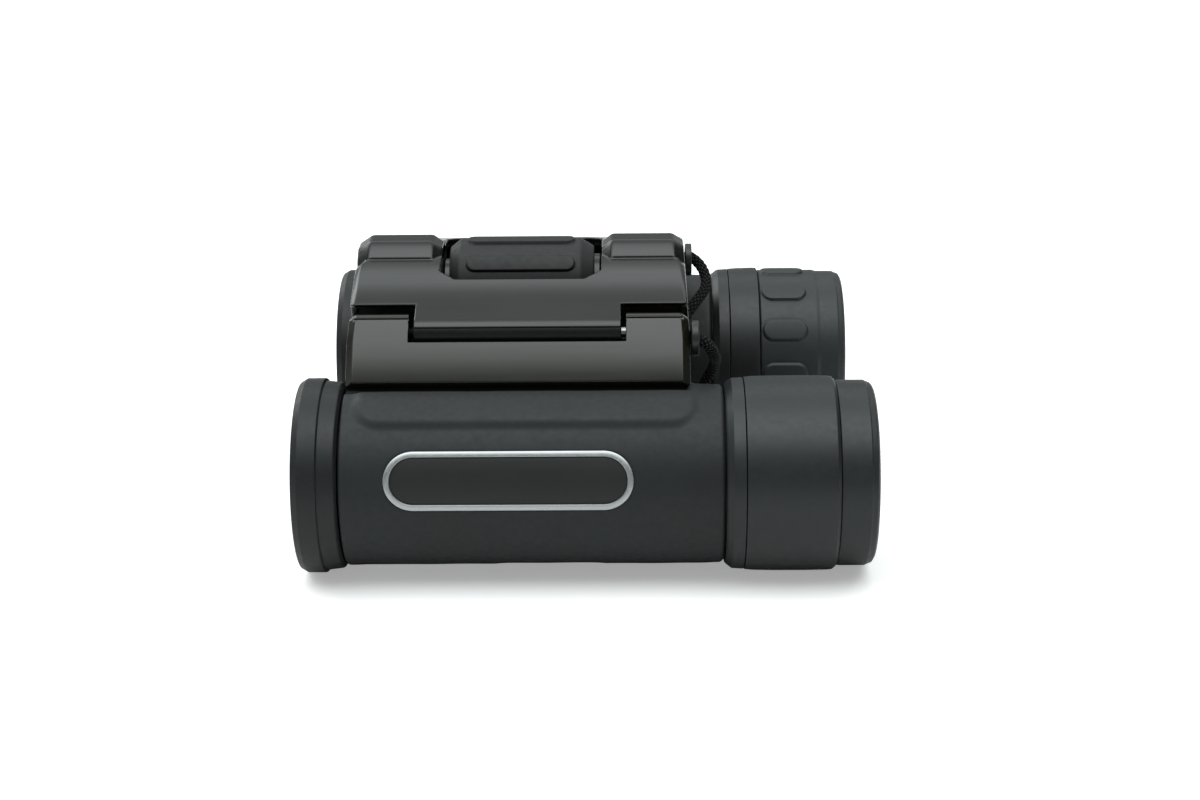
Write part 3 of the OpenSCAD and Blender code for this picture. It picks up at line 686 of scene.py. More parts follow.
def braid(u, s):
    """Height of a round braid at angle u (turns) and length s (mm), from 0 to 1."""
    a = BRAID_N * (u + s / BRAID_L)
    b = BRAID_N * (u - s / BRAID_L)
    par = (np.floor(a) + np.floor(b)) % 2
    fa, fb = a - np.floor(a), b - np.floor(b)
    over = np.where(par < 0.5, np.sin(np.pi * fa), np.sin(np.pi * fb))
    along = np.where(par < 0.5, np.sin(np.pi * fb), np.sin(np.pi * fa))
    return np.sqrt(np.clip(over, 0, 1)) * (0.35 + 0.65 * np.sqrt(np.clip(along, 0, 1)))


def cord_material():
    m = Nodes("cord_braid")
    uvn = m.node("ShaderNodeUVMap", uv_map="lay")
    sep = m.node("ShaderNodeSeparateXYZ")
    m.link(uvn.outputs[0], sep.inputs[0])
    u, v = sep.outputs[0], sep.outputs[1]          # turns, and mm along the cord
    nu = m.math("MULTIPLY", u, float(BRAID_N))
    nv = m.math("MULTIPLY", v, BRAID_N / BRAID_L)
    a, b = m.math("ADD", nu, nv), m.math("SUBTRACT", nu, nv)
    fa, fb = m.math("FRACT", a), m.math("FRACT", b)
    par = m.math("MODULO", m.math("ABSOLUTE", m.math("ADD", m.math("FLOOR", a), m.math("FLOOR", b))), 2.0)
    sa = m.math("SINE", m.math("MULTIPLY", fa, math.pi))
    sb = m.math("SINE", m.math("MULTIPLY", fb, math.pi))
    inv = m.math("SUBTRACT", 1.0, par)
    over = m.math("ADD", m.math("MULTIPLY", sa, inv), m.math("MULTIPLY", sb, par))
    along = m.math("ADD", m.math("MULTIPLY", sb, inv), m.math("MULTIPLY", sa, par))
    h = m.math("MULTIPLY", m.math("POWER", over, 0.5), m.math("ADD", 0.3, m.math("MULTIPLY", m.math("POWER", along, 0.5), 0.7)))
    # filaments along each carrier
    fil_a = m.math("SINE", m.math("MULTIPLY", fa, 2 * math.pi * 5))
    fil_b = m.math("SINE", m.math("MULTIPLY", fb, 2 * math.pi * 5))
    fil = m.math("ADD", m.math("MULTIPLY", fil_a, inv), m.math("MULTIPLY", fil_b, par))
    co = m.coord()
    big = m.noise(co, 500.0, 3.0, 0.6)
    hh = m.math("ADD", h, m.math("MULTIPLY", fil, 0.12))
    # painted shade: the grooves between the strands are near black, the crests dark grey
    col = m.mix(m.ramp(hh, 0.60, 1.05, 0.0, 1.0), [0.0003, 0.0003, 0.0003], [0.0120, 0.0118, 0.0110])
    # painted highlight: lighter patches on the strand crests
    col = m.mix(m.math("MULTIPLY", m.ramp(big, 0.4, 0.75, 0.0, 0.4), m.ramp(hh, 0.5, 0.9, 0.0, 1.0)), col, [0.030, 0.029, 0.026])
    m.link(col, m.bsdf.inputs["Base Color"])
    m.link(m.ramp(hh, 0.65, 1.05, 1.0, 0.30), m.bsdf.inputs["Roughness"])
    m.link(m.bump(hh, 1.0, 0.2 * MM), m.bsdf.inputs["Normal"])
    m.bsdf.inputs["Specular IOR Level"].default_value = 0.26
    return m


def build_cord():
    pts = CORD_R[:-1] + [(36.0, 71.0, 1.0)] + coil_points() + CORD_L[::-1]
    # the strands that show get the finest rings
    total = catmull(pts, 1.0)[1][-1]
    coil0 = catmull(CORD_R, 1.0)[1][-1]
    coil1 = total - catmull(CORD_L, 1.0)[1][-1]

    def step(s, _):
        near = min(s, total - s)
        if near < 36:
            return 0.12
        if s < coil0 or s > coil1:
            return 0.3
        return 0.55

    C, S = catmull(pts, step)
    k = 40
    T = np.gradient(C, axis=0)
    T /= np.linalg.norm(T, axis=1, keepdims=True)
    Nn = np.zeros_like(C)
    nrm = np.array([0.0, 0.0, 1.0])
    for i, t in enumerate(T):
        nrm = nrm - t * (nrm @ t)
        nrm /= np.linalg.norm(nrm)
        Nn[i] = nrm
    Bn = np.cross(T, Nn)
    th = np.arange(k) / k
    U, SS = np.meshgrid(th, S)
    near = np.minimum(SS, total - SS)
    amp = np.where(near < 36, 0.24, 0.06)
    R = 0.995 - amp * (1 - braid(U, SS))
    V = C[:, None, :] + R[..., None] * (np.cos(2 * np.pi * U)[..., None] * Nn[:, None, :] + np.sin(2 * np.pi * U)[..., None] * Bn[:, None, :])
    # nothing goes below the ground
    V[..., 2] = np.maximum(V[..., 2], 0.005)
    n = len(C)
    V = V.reshape(-1, 3)
    i = np.arange(n - 1)[:, None]
    j = np.arange(k)[None, :]
    j2 = (j + 1) % k
    F = np.stack([i * k + j, i * k + j2, (i + 1) * k + j2, (i + 1) * k + j], -1).reshape(-1, 4)
    u0 = np.broadcast_to(j / k, (n - 1, k))
    u1 = np.broadcast_to((j + 1) / k, (n - 1, k))
    s0 = np.broadcast_to(S[:-1, None], (n - 1, k))
    s1 = np.broadcast_to(S[1:, None], (n - 1, k))
    uv = np.stack([np.stack([u0, s0], -1), np.stack([u1, s0], -1), np.stack([u1, s1], -1), np.stack([u0, s1], -1)], 2).reshape(-1, 2)
    # end caps as fans
    caps = []
    base = len(V)
    V = np.concatenate([V, C[:1], C[-1:]])
    for j0 in range(k):
        caps.append((base, (j0 + 1) % k, j0, j0))
        caps.append((base + 1, (n - 1) * k + j0, (n - 1) * k + (j0 + 1) % k, (n - 1) * k + (j0 + 1) % k))
    faces = [tuple(f) for f in F] + [tuple(c[:3]) for c in caps]
    uv = np.concatenate([uv, np.zeros((len(caps) * 3, 2))])
    ob = add_mesh("neck_cord", V, faces, cord_material(), "bridge", ("neck_cord_right", "neck_cord_left", "neck_cord_coil"), uv=uv, sharp=60)
    path = np.stack([C[:, 0], C[:, 1], C[:, 2]], -1)
    return ob, path * MM, float(S[-1]) * MM


cord, cord_path, cord_len = build_cord()


def build_tie():
    """A soft band round the coil's section at angle 150 degrees."""
    a = math.radians(150)
    er, et = np.array([math.cos(a), math.sin(a), 0]), np.array([-math.sin(a), math.cos(a), 0])
    sec = []
    cx, cz = 12.0, 2.95
    for s in np.linspace(0, 2 * np.pi, 64, endpoint=False):
        e = 0.42
        x = 3.35 * np.sign(np.cos(s)) * abs(np.cos(s)) ** e
        z = 2.95 * np.sign(np.sin(s)) * abs(np.sin(s)) ** e
        if z > 1.9 and x < 0:
            z -= 0.0
        sec.append((cx + x, cz + z))
    sec = np.array(sec)
    V, k = [], len(sec)
    cen = np.array([COIL_C[0], COIL_C[1], 0.0])
    ws = np.linspace(-1.2, 1.2, 9)
    rows = []
    for w in ws:                       # outside
        inset = 0.22 * (abs(w) / 1.2) ** 6
        d = sec - np.array([cx, cz])
        rows.append((w, np.array([cx, cz]) + d * (1 - inset / 3.2)))
    for w in ws[::-1]:                 # inside
        d = sec - np.array([cx, cz])
        rows.append((w * 0.97, np.array([cx, cz]) + d * (1 - 0.5 / 3.2)))
    for w, ring in rows:
        for r, z in ring:
            V.append(cen + er * r + et * w + np.array([0, 0, max(z, 0.02)]))
    m = len(rows)
    i = np.arange(m)[:, None]
    j = np.arange(k)[None, :]
    F = np.stack([i * k + j, ((i + 1) % m) * k + j, ((i + 1) % m) * k + (j + 1) % k, i * k + (j + 1) % k], -1).reshape(-1, 4)
    return add_mesh("cord_tie_band", np.array(V), F, M_TIE, "bridge", ("cord_tie",), sharp=50)


tie = build_tie()
tuple(cord_path[0])
[tuple(p) for p in cord_path]


# ------------------------------------------------------------------ floor, light
# brightness of the soft dome by tilt from straight up, in degrees, positive towards the camera
DOME_TILT = ((-90, 0.42), (-80, 0.36), (-70, 0.28), (-60, 0.42), (-54, 0.95), (-49, 1.80), (-44, 1.55), (-38, 1.30), (-30, 1.05), (-24, 0.95),
             (-15, 1.10), (-9, 2.00), (-3, 3.05), (8, 3.40), (18, 3.20), (26, 3.15), (31, 2.90), (35, 1.90), (38, 0.90), (42, 0.34), (60, 0.20), (90, 0.26))
# and by angle to the left or right
DOME_SIDE = ((-90, 0.42), (-80, 0.30), (-70, 0.20), (-46, 0.24), (-39, 0.70), (-33, 1.00), (33, 1.00), (38, 0.62), (44, 0.06), (70, 0.04),
             (80, 0.05), (90, 0.08))


# a narrow lamp behind the left shoulder, for the edges that catch it
LAMP_TILT = ((-90, 0.00), (-80, 0.00), (-68, 1.00), (-44, 1.00), (-34, 0.00), (90, 0.00))
LAMP_SIDE = ((-90, 0.00), (-62, 0.00), (-52, 1.00), (-27, 1.00), (-18, 0.00), (90, 0.00))
LAMP = 2.5


def dome():
    w = bpy.data.worlds.new("studio")
    bpy.context.scene.world = w
    w.use_nodes = True
    t = w.node_tree
    bg = t.nodes["Background"]
    bg.inputs[0].default_value = (0.95, 1.0, 0.992, 1.0)
    sep = t.nodes.new("ShaderNodeSeparateXYZ")
    t.links.new(t.nodes.new("ShaderNodeTexCoord").outputs["Generated"], sep.inputs[0])

    def calc(op, a, b=0.0):
        n = t.nodes.new("ShaderNodeMath")
        n.operation = op
        for k, v in enumerate((a, b)):
            if isinstance(v, bpy.types.NodeSocket):
                t.links.new(v, n.inputs[k])
            else:
                n.inputs[k].default_value = v
        return n.outputs[0]

    def curve(angle, stops):
        top = max(v for _, v in stops)
        r = t.nodes.new("ShaderNodeValToRGB")
        t.links.new(calc("ADD", calc("DIVIDE", angle, math.pi), 0.5), r.inputs[0])
        e = r.color_ramp.elements
        for k, (deg, v) in enumerate(stops):
            x = (deg + 90) / 180
            q = e[k] if k < 2 else e.new(x)
            q.position = x
            q.color = (v / top, v / top, v / top, 1.0)
        return calc("MULTIPLY", r.outputs[0], top)

    tilt = calc("ARCTAN2", calc("MULTIPLY", sep.outputs[1], -1.0), sep.outputs[2])
    side = calc("ARCSINE", sep.outputs[0])
    wide = calc("MULTIPLY", curve(tilt, DOME_TILT), curve(side, DOME_SIDE))
    lamp = calc("MULTIPLY", calc("MULTIPLY", curve(tilt, LAMP_TILT), curve(side, LAMP_SIDE)), LAMP)
    glow = calc("ADD", wide, lamp)
    # past the table's edge the room is plain and pale
    seen = t.nodes.new("ShaderNodeLightPath").outputs["Is Camera Ray"]
    t.links.new(calc("ADD", calc("MULTIPLY", glow, calc("SUBTRACT", 1.0, seen)), calc("MULTIPLY", seen, 1.12)), bg.inputs[1])


def stage():
    def table(name, z, albedo, glow):
        me = bpy.data.meshes.new(name)
        k = 6.0
        me.from_pydata([(-k, -k, z), (k, -k, z), (k, k, z), (-k, k, z)], [], [(0, 1, 2, 3)])
        ob = bpy.data.objects.new(name, me)
        bpy.context.scene.collection.objects.link(ob)
        m = Nodes(name + "_paper")
        n = m.noise(m.coord(), 3.0, 3.0, 0.5)
        m.link(m.mix(m.ramp(n, 0.3, 0.7, 0.0, 1.0), [albedo - 0.008] * 3, [albedo + 0.008] * 3), m.bsdf.inputs["Base Color"])
        m.bsdf.inputs["Roughness"].default_value = 0.9
        m.bsdf.inputs["Specular IOR Level"].default_value = 0.1
        m.bsdf.inputs["Emission Color"].default_value = (1.0, 1.0, 1.0, 1.0)
        m.bsdf.inputs["Emission Strength"].default_value = glow
        me.materials.append(m.mat)
        return ob

    # the table that shows is softly lit from below, which keeps the shadows light, and the plain one
    # under it is what the object mirrors
    seen = table("floor", 0.0, 0.90, 0.34)
    seen.visible_diffuse = seen.visible_glossy = seen.visible_transmission = seen.visible_shadow = False
    under = table("floor_plain", -0.0002, 0.80, 0.0)
    under.visible_camera = False
    dome()
    bpy.context.scene.view_settings.view_transform = "Standard"
    bpy.context.scene.view_settings.look = "None"


stage()


# ------------------------------------------------------------------ round parts of each barrel
def side_name(s):
    return "left" if s < 0 else "right"


def barrel_rounds(s):
    sd = side_name(s)
    y = s * BY
    body = f"barrel_{sd}"
    # soft rim at the objective, with a chamfered nose, a shoulder and a tapering skirt
    lathe(f"objective_rim_{sd}_soft", [
        (X0, 13.3, 0.35), (X0, 15.12, 0.25), (X0 + 1.05, 15.74, 0.3), (X0 + 3.95, 15.74, 0.28), (X0 + 4.12, 15.33, 0.2),
        (X0 + 4.4, 15.30, 0.1), (-39.3, 15.02, 0.45), (-38.86, 14.3, 0.2), (-38.86, 12.62, 0), (X0 + 4.5, 12.62, 0),
        (X0 + 4.5, 11.22, 0.1), (X0 + 2.9, 11.22, 0.4)], M_NOSE_SHADED, body, (f"objective_rim_{sd}",), y)
    # eyepiece housing with its flared collar
    lathe(f"eyepiece_housing_{sd}_body", [
        (22.12, 12.62, 0), (22.12, 14.40, 0.08), (22.35, 14.66, 0.1), (23.25, 15.36, 0.22), (25.14, 15.47, 0.1), (25.14, 12.8, 0.05),
        (41.0, 12.8, 0.2), (41.0, 11.4, 0.15), (25.2, 11.4, 0.3), (25.2, 9.4, 0.3), (14.0, 9.4, 0.2), (14.0, 11.2, 0),
        (24.0, 11.2, 0), (24.0, 12.62, 0)], M_RIM, body, (f"eyepiece_housing_{sd}",), y)
    if s < 0:
        lathe("eyepiece_sleeve_left_soft", [
            (25.26, 12.8, 0), (25.26, 15.52, 0.12), (26.6, 15.66, 3.0), (30.0, 15.73, 8.0), (35.0, 15.74, 8.0), (38.6, 15.68, 3.0), (39.35, 15.60, 0.4),
            (39.86, 15.16, 0.25), (39.92, 14.6, 0.05), (39.92, 12.8, 0)], M_RIM, body, ("eyepiece_sleeve_left",), y, seg=8)
        cup("eyecup_left_soft", 39.97, body, ("eyecup_left",), y)
    else:
        lathe("eyepiece_ring_right_soft", [
            (25.26, 12.8, 0), (25.26, 15.50, 0.12), (26.5, 15.60, 2.0), (29.8, 15.70, 1.5), (30.52, 15.66, 0.14), (30.54, 15.1, 0.05),
            (30.54, 12.87, 0), (29.0, 12.87, 0), (29.0, 12.8, 0)], M_RIM, body, ("eyepiece_ring_right",), y)
    # lenses and their cells
    R = 10.5

    def sag(rad, h):
        return abs(rad) - math.sqrt(rad * rad - h * h)

    def arcp(x, rad, top, n, sgn):
        return [(x + sgn * sag(rad, top * i / n), top * i / n) for i in range(n + 1)]

    ob = f"objective_{sd}"
    crown = arcp(-37.4, 42, R, 24, 1) + arcp(-34, 32, R, 24, -1)[::-1]
    lathe(f"objective_crown_{sd}_lens", crown, M_LENS, ob, (f"objective_crown_{sd}",), y, n=128)
    flint = arcp(-33.99, 32, R, 24, -1) + arcp(-32.2, 200, R, 12, -1)[::-1]
    lathe(f"objective_flint_{sd}_lens", flint, M_LENS, ob, (f"objective_flint_{sd}",), y, n=128)
    lathe(f"lens_ring_{sd}_thread", [(-39.0, 9.62, 0.12), (-39.0, 10.48, 0.1), (-36.3, 10.48, 0), (-36.3, 10.0, 0.1), (-38.3, 9.62, 0.1)],
          M_MECH, ob, (f"lens_ring_{sd}",), y, n=128)
    oc = body if s < 0 else "ocular_right"
    er = 8.6
    lathe(f"field_lens_{sd}_lens", [(27.2, 0), (27.2, er, 0)] + [(30.4 - sag(26, er * i / 16), er * i / 16) for i in range(16, -1, -1)],
          M_LENS, oc, (f"field_lens_{sd}",), y, n=112)
    lathe(f"eye_lens_{sd}_lens", [(35.1 + sag(26, er * i / 16), er * i / 16) for i in range(17)] + [(38.0, er, 0), (38.0, 0)],
          M_LENS, oc, (f"eye_lens_{sd}",), y, n=112)
    # the eyepiece's lens cell, with fine steps against stray light in front of the lens
    steps = []
    for i in range(5):
        steps += [(39.6 - 0.32 * i, 10.6 - 0.55 * i, 0.03), (39.6 - 0.32 * (i + 1), 10.6 - 0.55 * i, 0.03)]
    lathe(f"ocular_cell_{sd}_stepped", [(27.0, 11.3, 0.1), (39.6, 11.3, 0.15)] + steps + [(38.0, 7.9, 0.05), (38.0, 8.6, 0), (34.9, 8.6, 0),
          (34.9, 7.6, 0.1), (30.5, 7.6, 0.1), (30.5, 8.6, 0), (27.0, 8.6, 0.1)], M_MECH, oc, (f"ocular_cell_{sd}",), y, n=144)


def cup(name, a, body, nodes, y):
    """Soft eyecup: a fine seam line, a rolled front edge and a hollow that narrows to the lens."""
    return lathe(name, [
        (a, 12.8, 0), (a, 14.93, 0.12), (a + 0.6, 14.99, 0.3), (X1 - 1.35, 14.99, 0.35), (X1 - 1.18, 14.86, 0.06), (X1 - 0.35, 14.55, 0.35), (X1, 13.95, 0.3),
        (X1, 13.3, 0.3), (X1 - 0.7, 12.75, 0.5), (42.4, 11.0, 0.8), (41.25, 10.2, 0.3), (41.2, 12.8, 0)], M_RIM, body, nodes, y, seg=8)


# ------------------------------------------------------------------ armour of each barrel
BADGE = (-12.0, 17.7)          # centre along X, and angle above the horizontal


def wrap(a):
    return (a + math.pi) % (2 * math.pi) - math.pi


def armour(s):
    sd = side_name(s)

    def out_angle(T):
        """Angle from the outward direction, positive upwards."""
        return wrap(T) if s > 0 else wrap(math.pi - T)

    def f(X, T, R):
        a = np.degrees(out_angle(T))
        r = 14.5
        sarc = np.radians(a) * r
        # soft pad beside the arm, from 54 degrees up over the top
        d = rrect_sd(X + 9.5, sarc - np.radians(53.5 + 30) * r, 26.9, np.radians(30) * r, 4.0)
        high = 0.46 + 0.20 * smooth((86.0 - a) / 14.0)
        h = high * smooth(-d / 2.5 + 0.5)
        # shallow hollow under the middle of the barrel
        dr = rrect_sd(X + 5.9, (sarc + np.radians(82.0) * r), 8.6, 5.6, 2.0)
        h = h - 0.30 * smooth(-dr / 1.4 + 0.4)
        # sunk strip along the arm's foot
        dp = rrect_sd(X + 11.3, sarc - np.radians(90.2) * r, 27.8, 1.49, 0.3)
        h = np.where(dp < 0.6, h * (1 - smooth(0.5 - dp / 0.3)) - 0.5 * smooth(0.5 - dp / 0.3), h)
        # the objective end swells a little where the rubber is turned in, and the eyepiece end falls away
        h = h + 0.10 * np.exp(-((X + 37.6) / 1.6) ** 2) - 0.10 * smooth((X - 17.5) / 4.4)
        # a slow waviness of moulded rubber
        h = h + 0.02 * np.sin(X * 0.33 + 1.1) * np.cos(2 * T + 0.4) + 0.012 * np.sin(X * 0.71 + 3 * T)
        if s < 0:
            sb = np.radians(a - BADGE[1]) * r
            db = stadium_sd(X - BADGE[0], sb, 39.0, 9.2)
            h = h - 0.34 * smooth(-db / 0.16 + 0.2)
            # a narrow sunk line round the badge
            h = h - 0.05 * np.exp(-((db - 0.12) / 0.16) ** 2)
        return h

    n = 560
    ob = radial(f"armour_{sd}_soft", [(-38.6, 14.35, 0.3), (-38.3, 14.5, 0.25), (21.5, 14.5, 0.7), (21.98, 13.95, 0.25)],
           [(21.98, 12.62, 0), (-38.6, 12.62, 0)], n, f, M_RUBBER, f"barrel_{sd}", (f"armour_{sd}",), s * BY,
           step=0.42, sharp=50)
    co = np.empty(len(ob.data.vertices) * 3, dtype=np.float32)
    ob.data.vertices.foreach_get("co", co)
    co = co.reshape(-1, 3) / MM
    dy, dz = s * co[:, 1] - BY, co[:, 2] - RZ
    ang = np.degrees(np.arctan2(dz, dy))
    # mask of the painted shade: the sunk strip by the arm's foot, under the arm
    pit_shade = smooth((14.52 - np.hypot(dy, dz)) / 0.16) * (np.abs(ang - 90.2) < 6.6) * (np.abs(co[:, 0] + 11.3) < 28.1)
    ob.data.attributes.new("pit_shade", "FLOAT", "POINT").data.foreach_set("value", pit_shade.astype(np.float32))


def badge():
    """The oval frame and its bare field on the near barrel. Built in (x, arc) and wrapped on the barrel."""
    r0 = 14.5
    cx, ca = BADGE

    def wrap_pt(x, sarc, rad):
        a = math.radians(ca) + sarc / r0
        return (cx + x, -BY - rad * math.cos(a), RZ + rad * math.sin(a))

    # frame: a section swept round the stadium
    L, W = 39.1, 9.42
    wdt = 0.92
    hw = W / 2 - wdt / 2
    half = (L - W) / 2
    line = []
    for x in np.linspace(-half, half, 60, endpoint=False):
        line.append(((x, -hw), (0.0, -1.0)))
    for t in np.linspace(-90, 90, 48, endpoint=False):
        c, q = math.cos(math.radians(t)), math.sin(math.radians(t))
        line.append(((half + hw * c, hw * q), (c, q)))
    for x in np.linspace(half, -half, 60, endpoint=False):
        line.append(((x, hw), (0.0, 1.0)))
    for t in np.linspace(90, 270, 48, endpoint=False):
        c, q = math.cos(math.radians(t)), math.sin(math.radians(t))
        line.append(((-half + hw * c, hw * q), (c, q)))
    sec = [(-wdt / 2, -0.3), (-wdt / 2, 0.06), (-wdt / 2 + 0.03, 0.11), (-wdt / 2 + 0.10, 0.138), (0, 0.15), (wdt / 2 - 0.10, 0.138),
           (wdt / 2 - 0.03, 0.11), (wdt / 2, 0.06), (wdt / 2, -0.3)]
    V, m = [], len(sec)
    for (p, nrm) in line:
        for (o, h) in sec:
            V.append(wrap_pt(p[0] + nrm[0] * o, p[1] + nrm[1] * o, r0 + h))
    n = len(line)
    i = np.arange(n)[:, None]
    j = np.arange(m)[None, :]
    F = np.stack([i * m + j, ((i + 1) % n) * m + j, ((i + 1) % n) * m + (j + 1) % m, i * m + (j + 1) % m], -1).reshape(-1, 4)
    add_mesh("badge_frame_left_oval", np.array(V), F[:, ::-1], M_SILVER, "barrel_left", ("badge_frame_left",), sharp=50)
    # the bare field inside it: slightly crowned, in rings from the rim to a spine
    rim = []
    hw2 = hw - wdt / 2 + 0.02
    for x in np.linspace(-half, half, 60, endpoint=False):
        rim.append((x, -hw2, x))
    for t in np.linspace(-90, 90, 48, endpoint=False):
        rim.append((half + hw2 * math.cos(math.radians(t)), hw2 * math.sin(math.radians(t)), half))
    for x in np.linspace(half, -half, 60, endpoint=False):
        rim.append((x, hw2, x))
    for t in np.linspace(90, 270, 48, endpoint=False):
        rim.append((-half + hw2 * math.cos(math.radians(t)), hw2 * math.sin(math.radians(t)), -half))
    V, rows = [], 14
    n = len(rim)
    top = []
    for k in range(rows + 1):
        t = k / rows
        for (x, q, sx) in rim:
            X = sx + (x - sx) * (1 - t)
            Q = q * (1 - t)
            edge = min(1.0, t * hw2 / 0.25)
            top.append(wrap_pt(X, Q, r0 - 0.16 + 0.05 * (1 - (1 - edge) ** 2) - 0.05))
    low = [wrap_pt(x, q, r0 - 0.38) for (x, q, _) in rim]
    V = low + top
    faces = []
    for k in range(n):
        k2 = (k + 1) % n
        faces.append((k, k2, n + k2, n + k))
        for r in range(rows):
            a, b = n + r * n, n + (r + 1) * n
            if r < rows - 1:
                faces.append((a + k, a + k2, b + k2, b + k))
    # the last ring closes along the spine
    a = n + (rows - 1) * n
    b = n + rows * n
    for k in range(n):
        k2 = (k + 1) % n
        pa, pb = np.array(V[b + k]), np.array(V[b + k2])
        if np.linalg.norm(pa - pb) < 1e-6:
            faces.append((a + k, a + k2, b + k))
        else:
            faces.append((a + k, a + k2, b + k2, b + k))
    faces.append(tuple(range(n - 1, -1, -1)))
    ob = add_mesh("badge_field_left_bare", np.array(V), faces, M_FIELD, "barrel_left", ("badge_plate_left",))
    fix_normals(ob, 40)


# ------------------------------------------------------------------ dioptre grip and focus wheel
def diopter_grip():
    y = BY

    def f(X, T, R):
        h = np.zeros_like(X)
        for i in range(12):
            a = math.radians(26.4 + 30 * i)
            d = stadium_sd(X - 35.1, wrap(T - a) * 15.2, 8.1, 3.95)
            h = h + 0.46 * smooth(-d / 0.42 + 0.25)
            h = h - 0.05 * np.exp(-((d - 0.08) / 0.16) ** 2)
        # only the pads, between X 30.9 and 40.0
        return h * (X > 30.9) * (X < 40.0) + 0.0

    n = 720
    # the grip's rubber is painted lighter, for the light from the right and behind
    radial("diopter_grip_soft", [(30.66, 15.1, 0.12), (30.9, 15.26, 0.15), (40.9, 15.24, 0.5), (41.5, 15.03, 0.4), (X1 - 1.35, 14.99, 0.35), (X1 - 1.18, 14.86, 0.06)],
           [(X1 - 0.35, 14.55, 0.35), (X1, 13.95, 0.3), (X1, 13.3, 0.3), (X1 - 0.7, 12.75, 0.5), (42.4, 11.0, 0.8), (41.25, 10.2, 0.3), (41.2, 12.9, 0),
            (40.9, 12.9, 0), (40.9, 13.8, 0), (30.66, 13.8, 0)],
           n, f, M_GRIP_LIT, "diopter", ("diopter_grip",), y, step=0.17, sharp=58, seg=7)


def focus_wheel():
    def f(X, T, R):
        h = np.zeros_like(X)
        for i in range(8):
            a = math.pi / 2 + math.radians(i * 45 + 138 - 90)
            d = stadium_sd(X + 11.2, wrap(T - a) * 7.7, 18.3, 2.7)
            h = h + 0.47 * smooth(-d / 0.3 + 0.25)
            h = h - 0.05 * np.exp(-((d - 0.06) / 0.12) ** 2)
        return h * (X > -21.2) * (X < -1.6)

    n = 480
    radial("focus_wheel_grip", [(-23.28, 6.3, 0.2), (-21.75, 7.56, 0.3), (-21.45, 7.70, 0.2), (-1.25, 7.70, 0.2), (-0.95, 7.56, 0.3), (1.08, 6.3, 0.2)],
           [(1.08, 5.6, 0.05), (-23.28, 5.6, 0.05)], n, f, M_WHEEL, "focus_wheel", ("focus_grip",), 0.0, z=WHEEL_Z,
           step=0.2, sharp=52, lim=5.9)
    lathe("focus_wheel_hub", [(-24.4, 1.52, 0.1), (-24.4, 4.3, 0.25), (-23.3, 4.3, 0.1), (-23.3, 5.25, 0.2), (-22.9, 5.58, 0.1), (0.7, 5.58, 0.1), (1.08, 5.3, 0.1),
          (1.1, 5.0, 0.1), (2.2, 5.0, 0.25), (2.2, 1.52, 0.1)], M_COVER, "focus_wheel", ("focus_hub",), 0.0, z=WHEEL_Z, n=128)


# ------------------------------------------------------------------ hinge arms
RHO = 48.4
TA = math.radians(45)
TP = (HY + 2.9 * math.cos(TA), HZ + 2.9 * math.sin(TA))          # where the plate leaves the ear
PC = (TP[0] - RHO * math.cos(TA), TP[1] - RHO * math.sin(TA))    # centre of the plate's gentle curve
FOOT = (29.5, 30.85)
FA = math.atan2(FOOT[1] - PC[1], FOOT[0] - PC[0])
PLATE_T = 2.2


def arm_field(s):
    def f(x, y, z):
        y = y * s
        dy, dz = y - HY, z - HZ
        dh = np.hypot(dy, dz)
        py, pz = y - PC[0], z - PC[1]
        dc = np.hypot(py, pz)
        tu = dy * math.sin(TA) - dz * math.cos(TA)          # beyond the tangent point, downhill
        outer = np.where(tu < 0, np.maximum(dh - 3.25, dc - RHO), dc - RHO)
        # end of the plate, square to its surface
        ey, ez = math.sin(FA), -math.cos(FA)
        end = (y - FOOT[0]) * ey + (z - FOOT[1]) * ez
        plate = np.maximum(dc - RHO, (RHO - PLATE_T) - dc)
        plate = imax(plate, end, 0.12)
        plate = np.maximum(plate, -tu - 0.4)
        inner_cut = RHO - dc
        # bevels at the two ends and along the foot
        up = smooth((4.0 - tu) / 7.0)
        xl, xr = x + 38.78 - 0.10 - 0.27 * up, 16.78 - 0.25 * up - x
        l = np.maximum(-xl, -xr)
        bev_l = (outer + 0.85 * (1 - xl / 1.15)) / 1.24
        bev_r = (outer + 0.95 * (1 - xr / 1.25)) / 1.24
        bev_f = (outer + 0.60 * (1 + end / 0.55)) / 1.45
        ear = imax(dh - 3.25, dc - RHO, 0.3)
        in_ear = np.maximum(-28.65 - x, 0) * 0 + np.minimum(x + 28.65, 6.45 - x)      # positive in the middle
        ear = imax(ear, in_ear, 0.15)
        mid = imax(plate, -(dh - 4.0) * 1.0, 0.12)
        d = np.where(in_ear > 0.6, mid, 1e3)
        full = np.minimum(ear, plate)
        # in the ears' zones the whole section stays; in the middle the hinge's room is cut away
        room = np.maximum(dh - 4.0, -in_ear)
        sec = cut(full, room, 0.12)
        # a fine line where the roll of the ear meets the face
        ring = np.maximum(np.abs(tu + 1.20) - 0.19, -(outer + 0.36))
        sec = np.maximum(sec, -ring)
        sec = imax(sec, bev_l, 0.12)
        sec = imax(sec, bev_r, 0.12)
        sec = imax(sec, bev_f, 0.12)
        sec = imax(sec, l, 0.08)
        # foot under the plate
        fl = np.maximum(np.maximum(y - 28.75, -(y - 24.2)), np.maximum(z - 34.0, 25.9 - z))
        fl = np.maximum(fl, dc - (RHO - 1.0))
        fl = np.maximum(fl, np.maximum(x - 15.9, -37.3 - x))
        slot = np.maximum(np.maximum(SLOT[0] - x, x - SLOT[1]), y - 28.0)
        fl = cut(fl, slot, 0.15)
        d = umin(sec, fl, 0.3)
        d = np.maximum(d, 12.62 - np.hypot(y - BY, z - RZ))
        d = np.maximum(d, (PIN_R + 0.05) - dh)
        return d

    return f


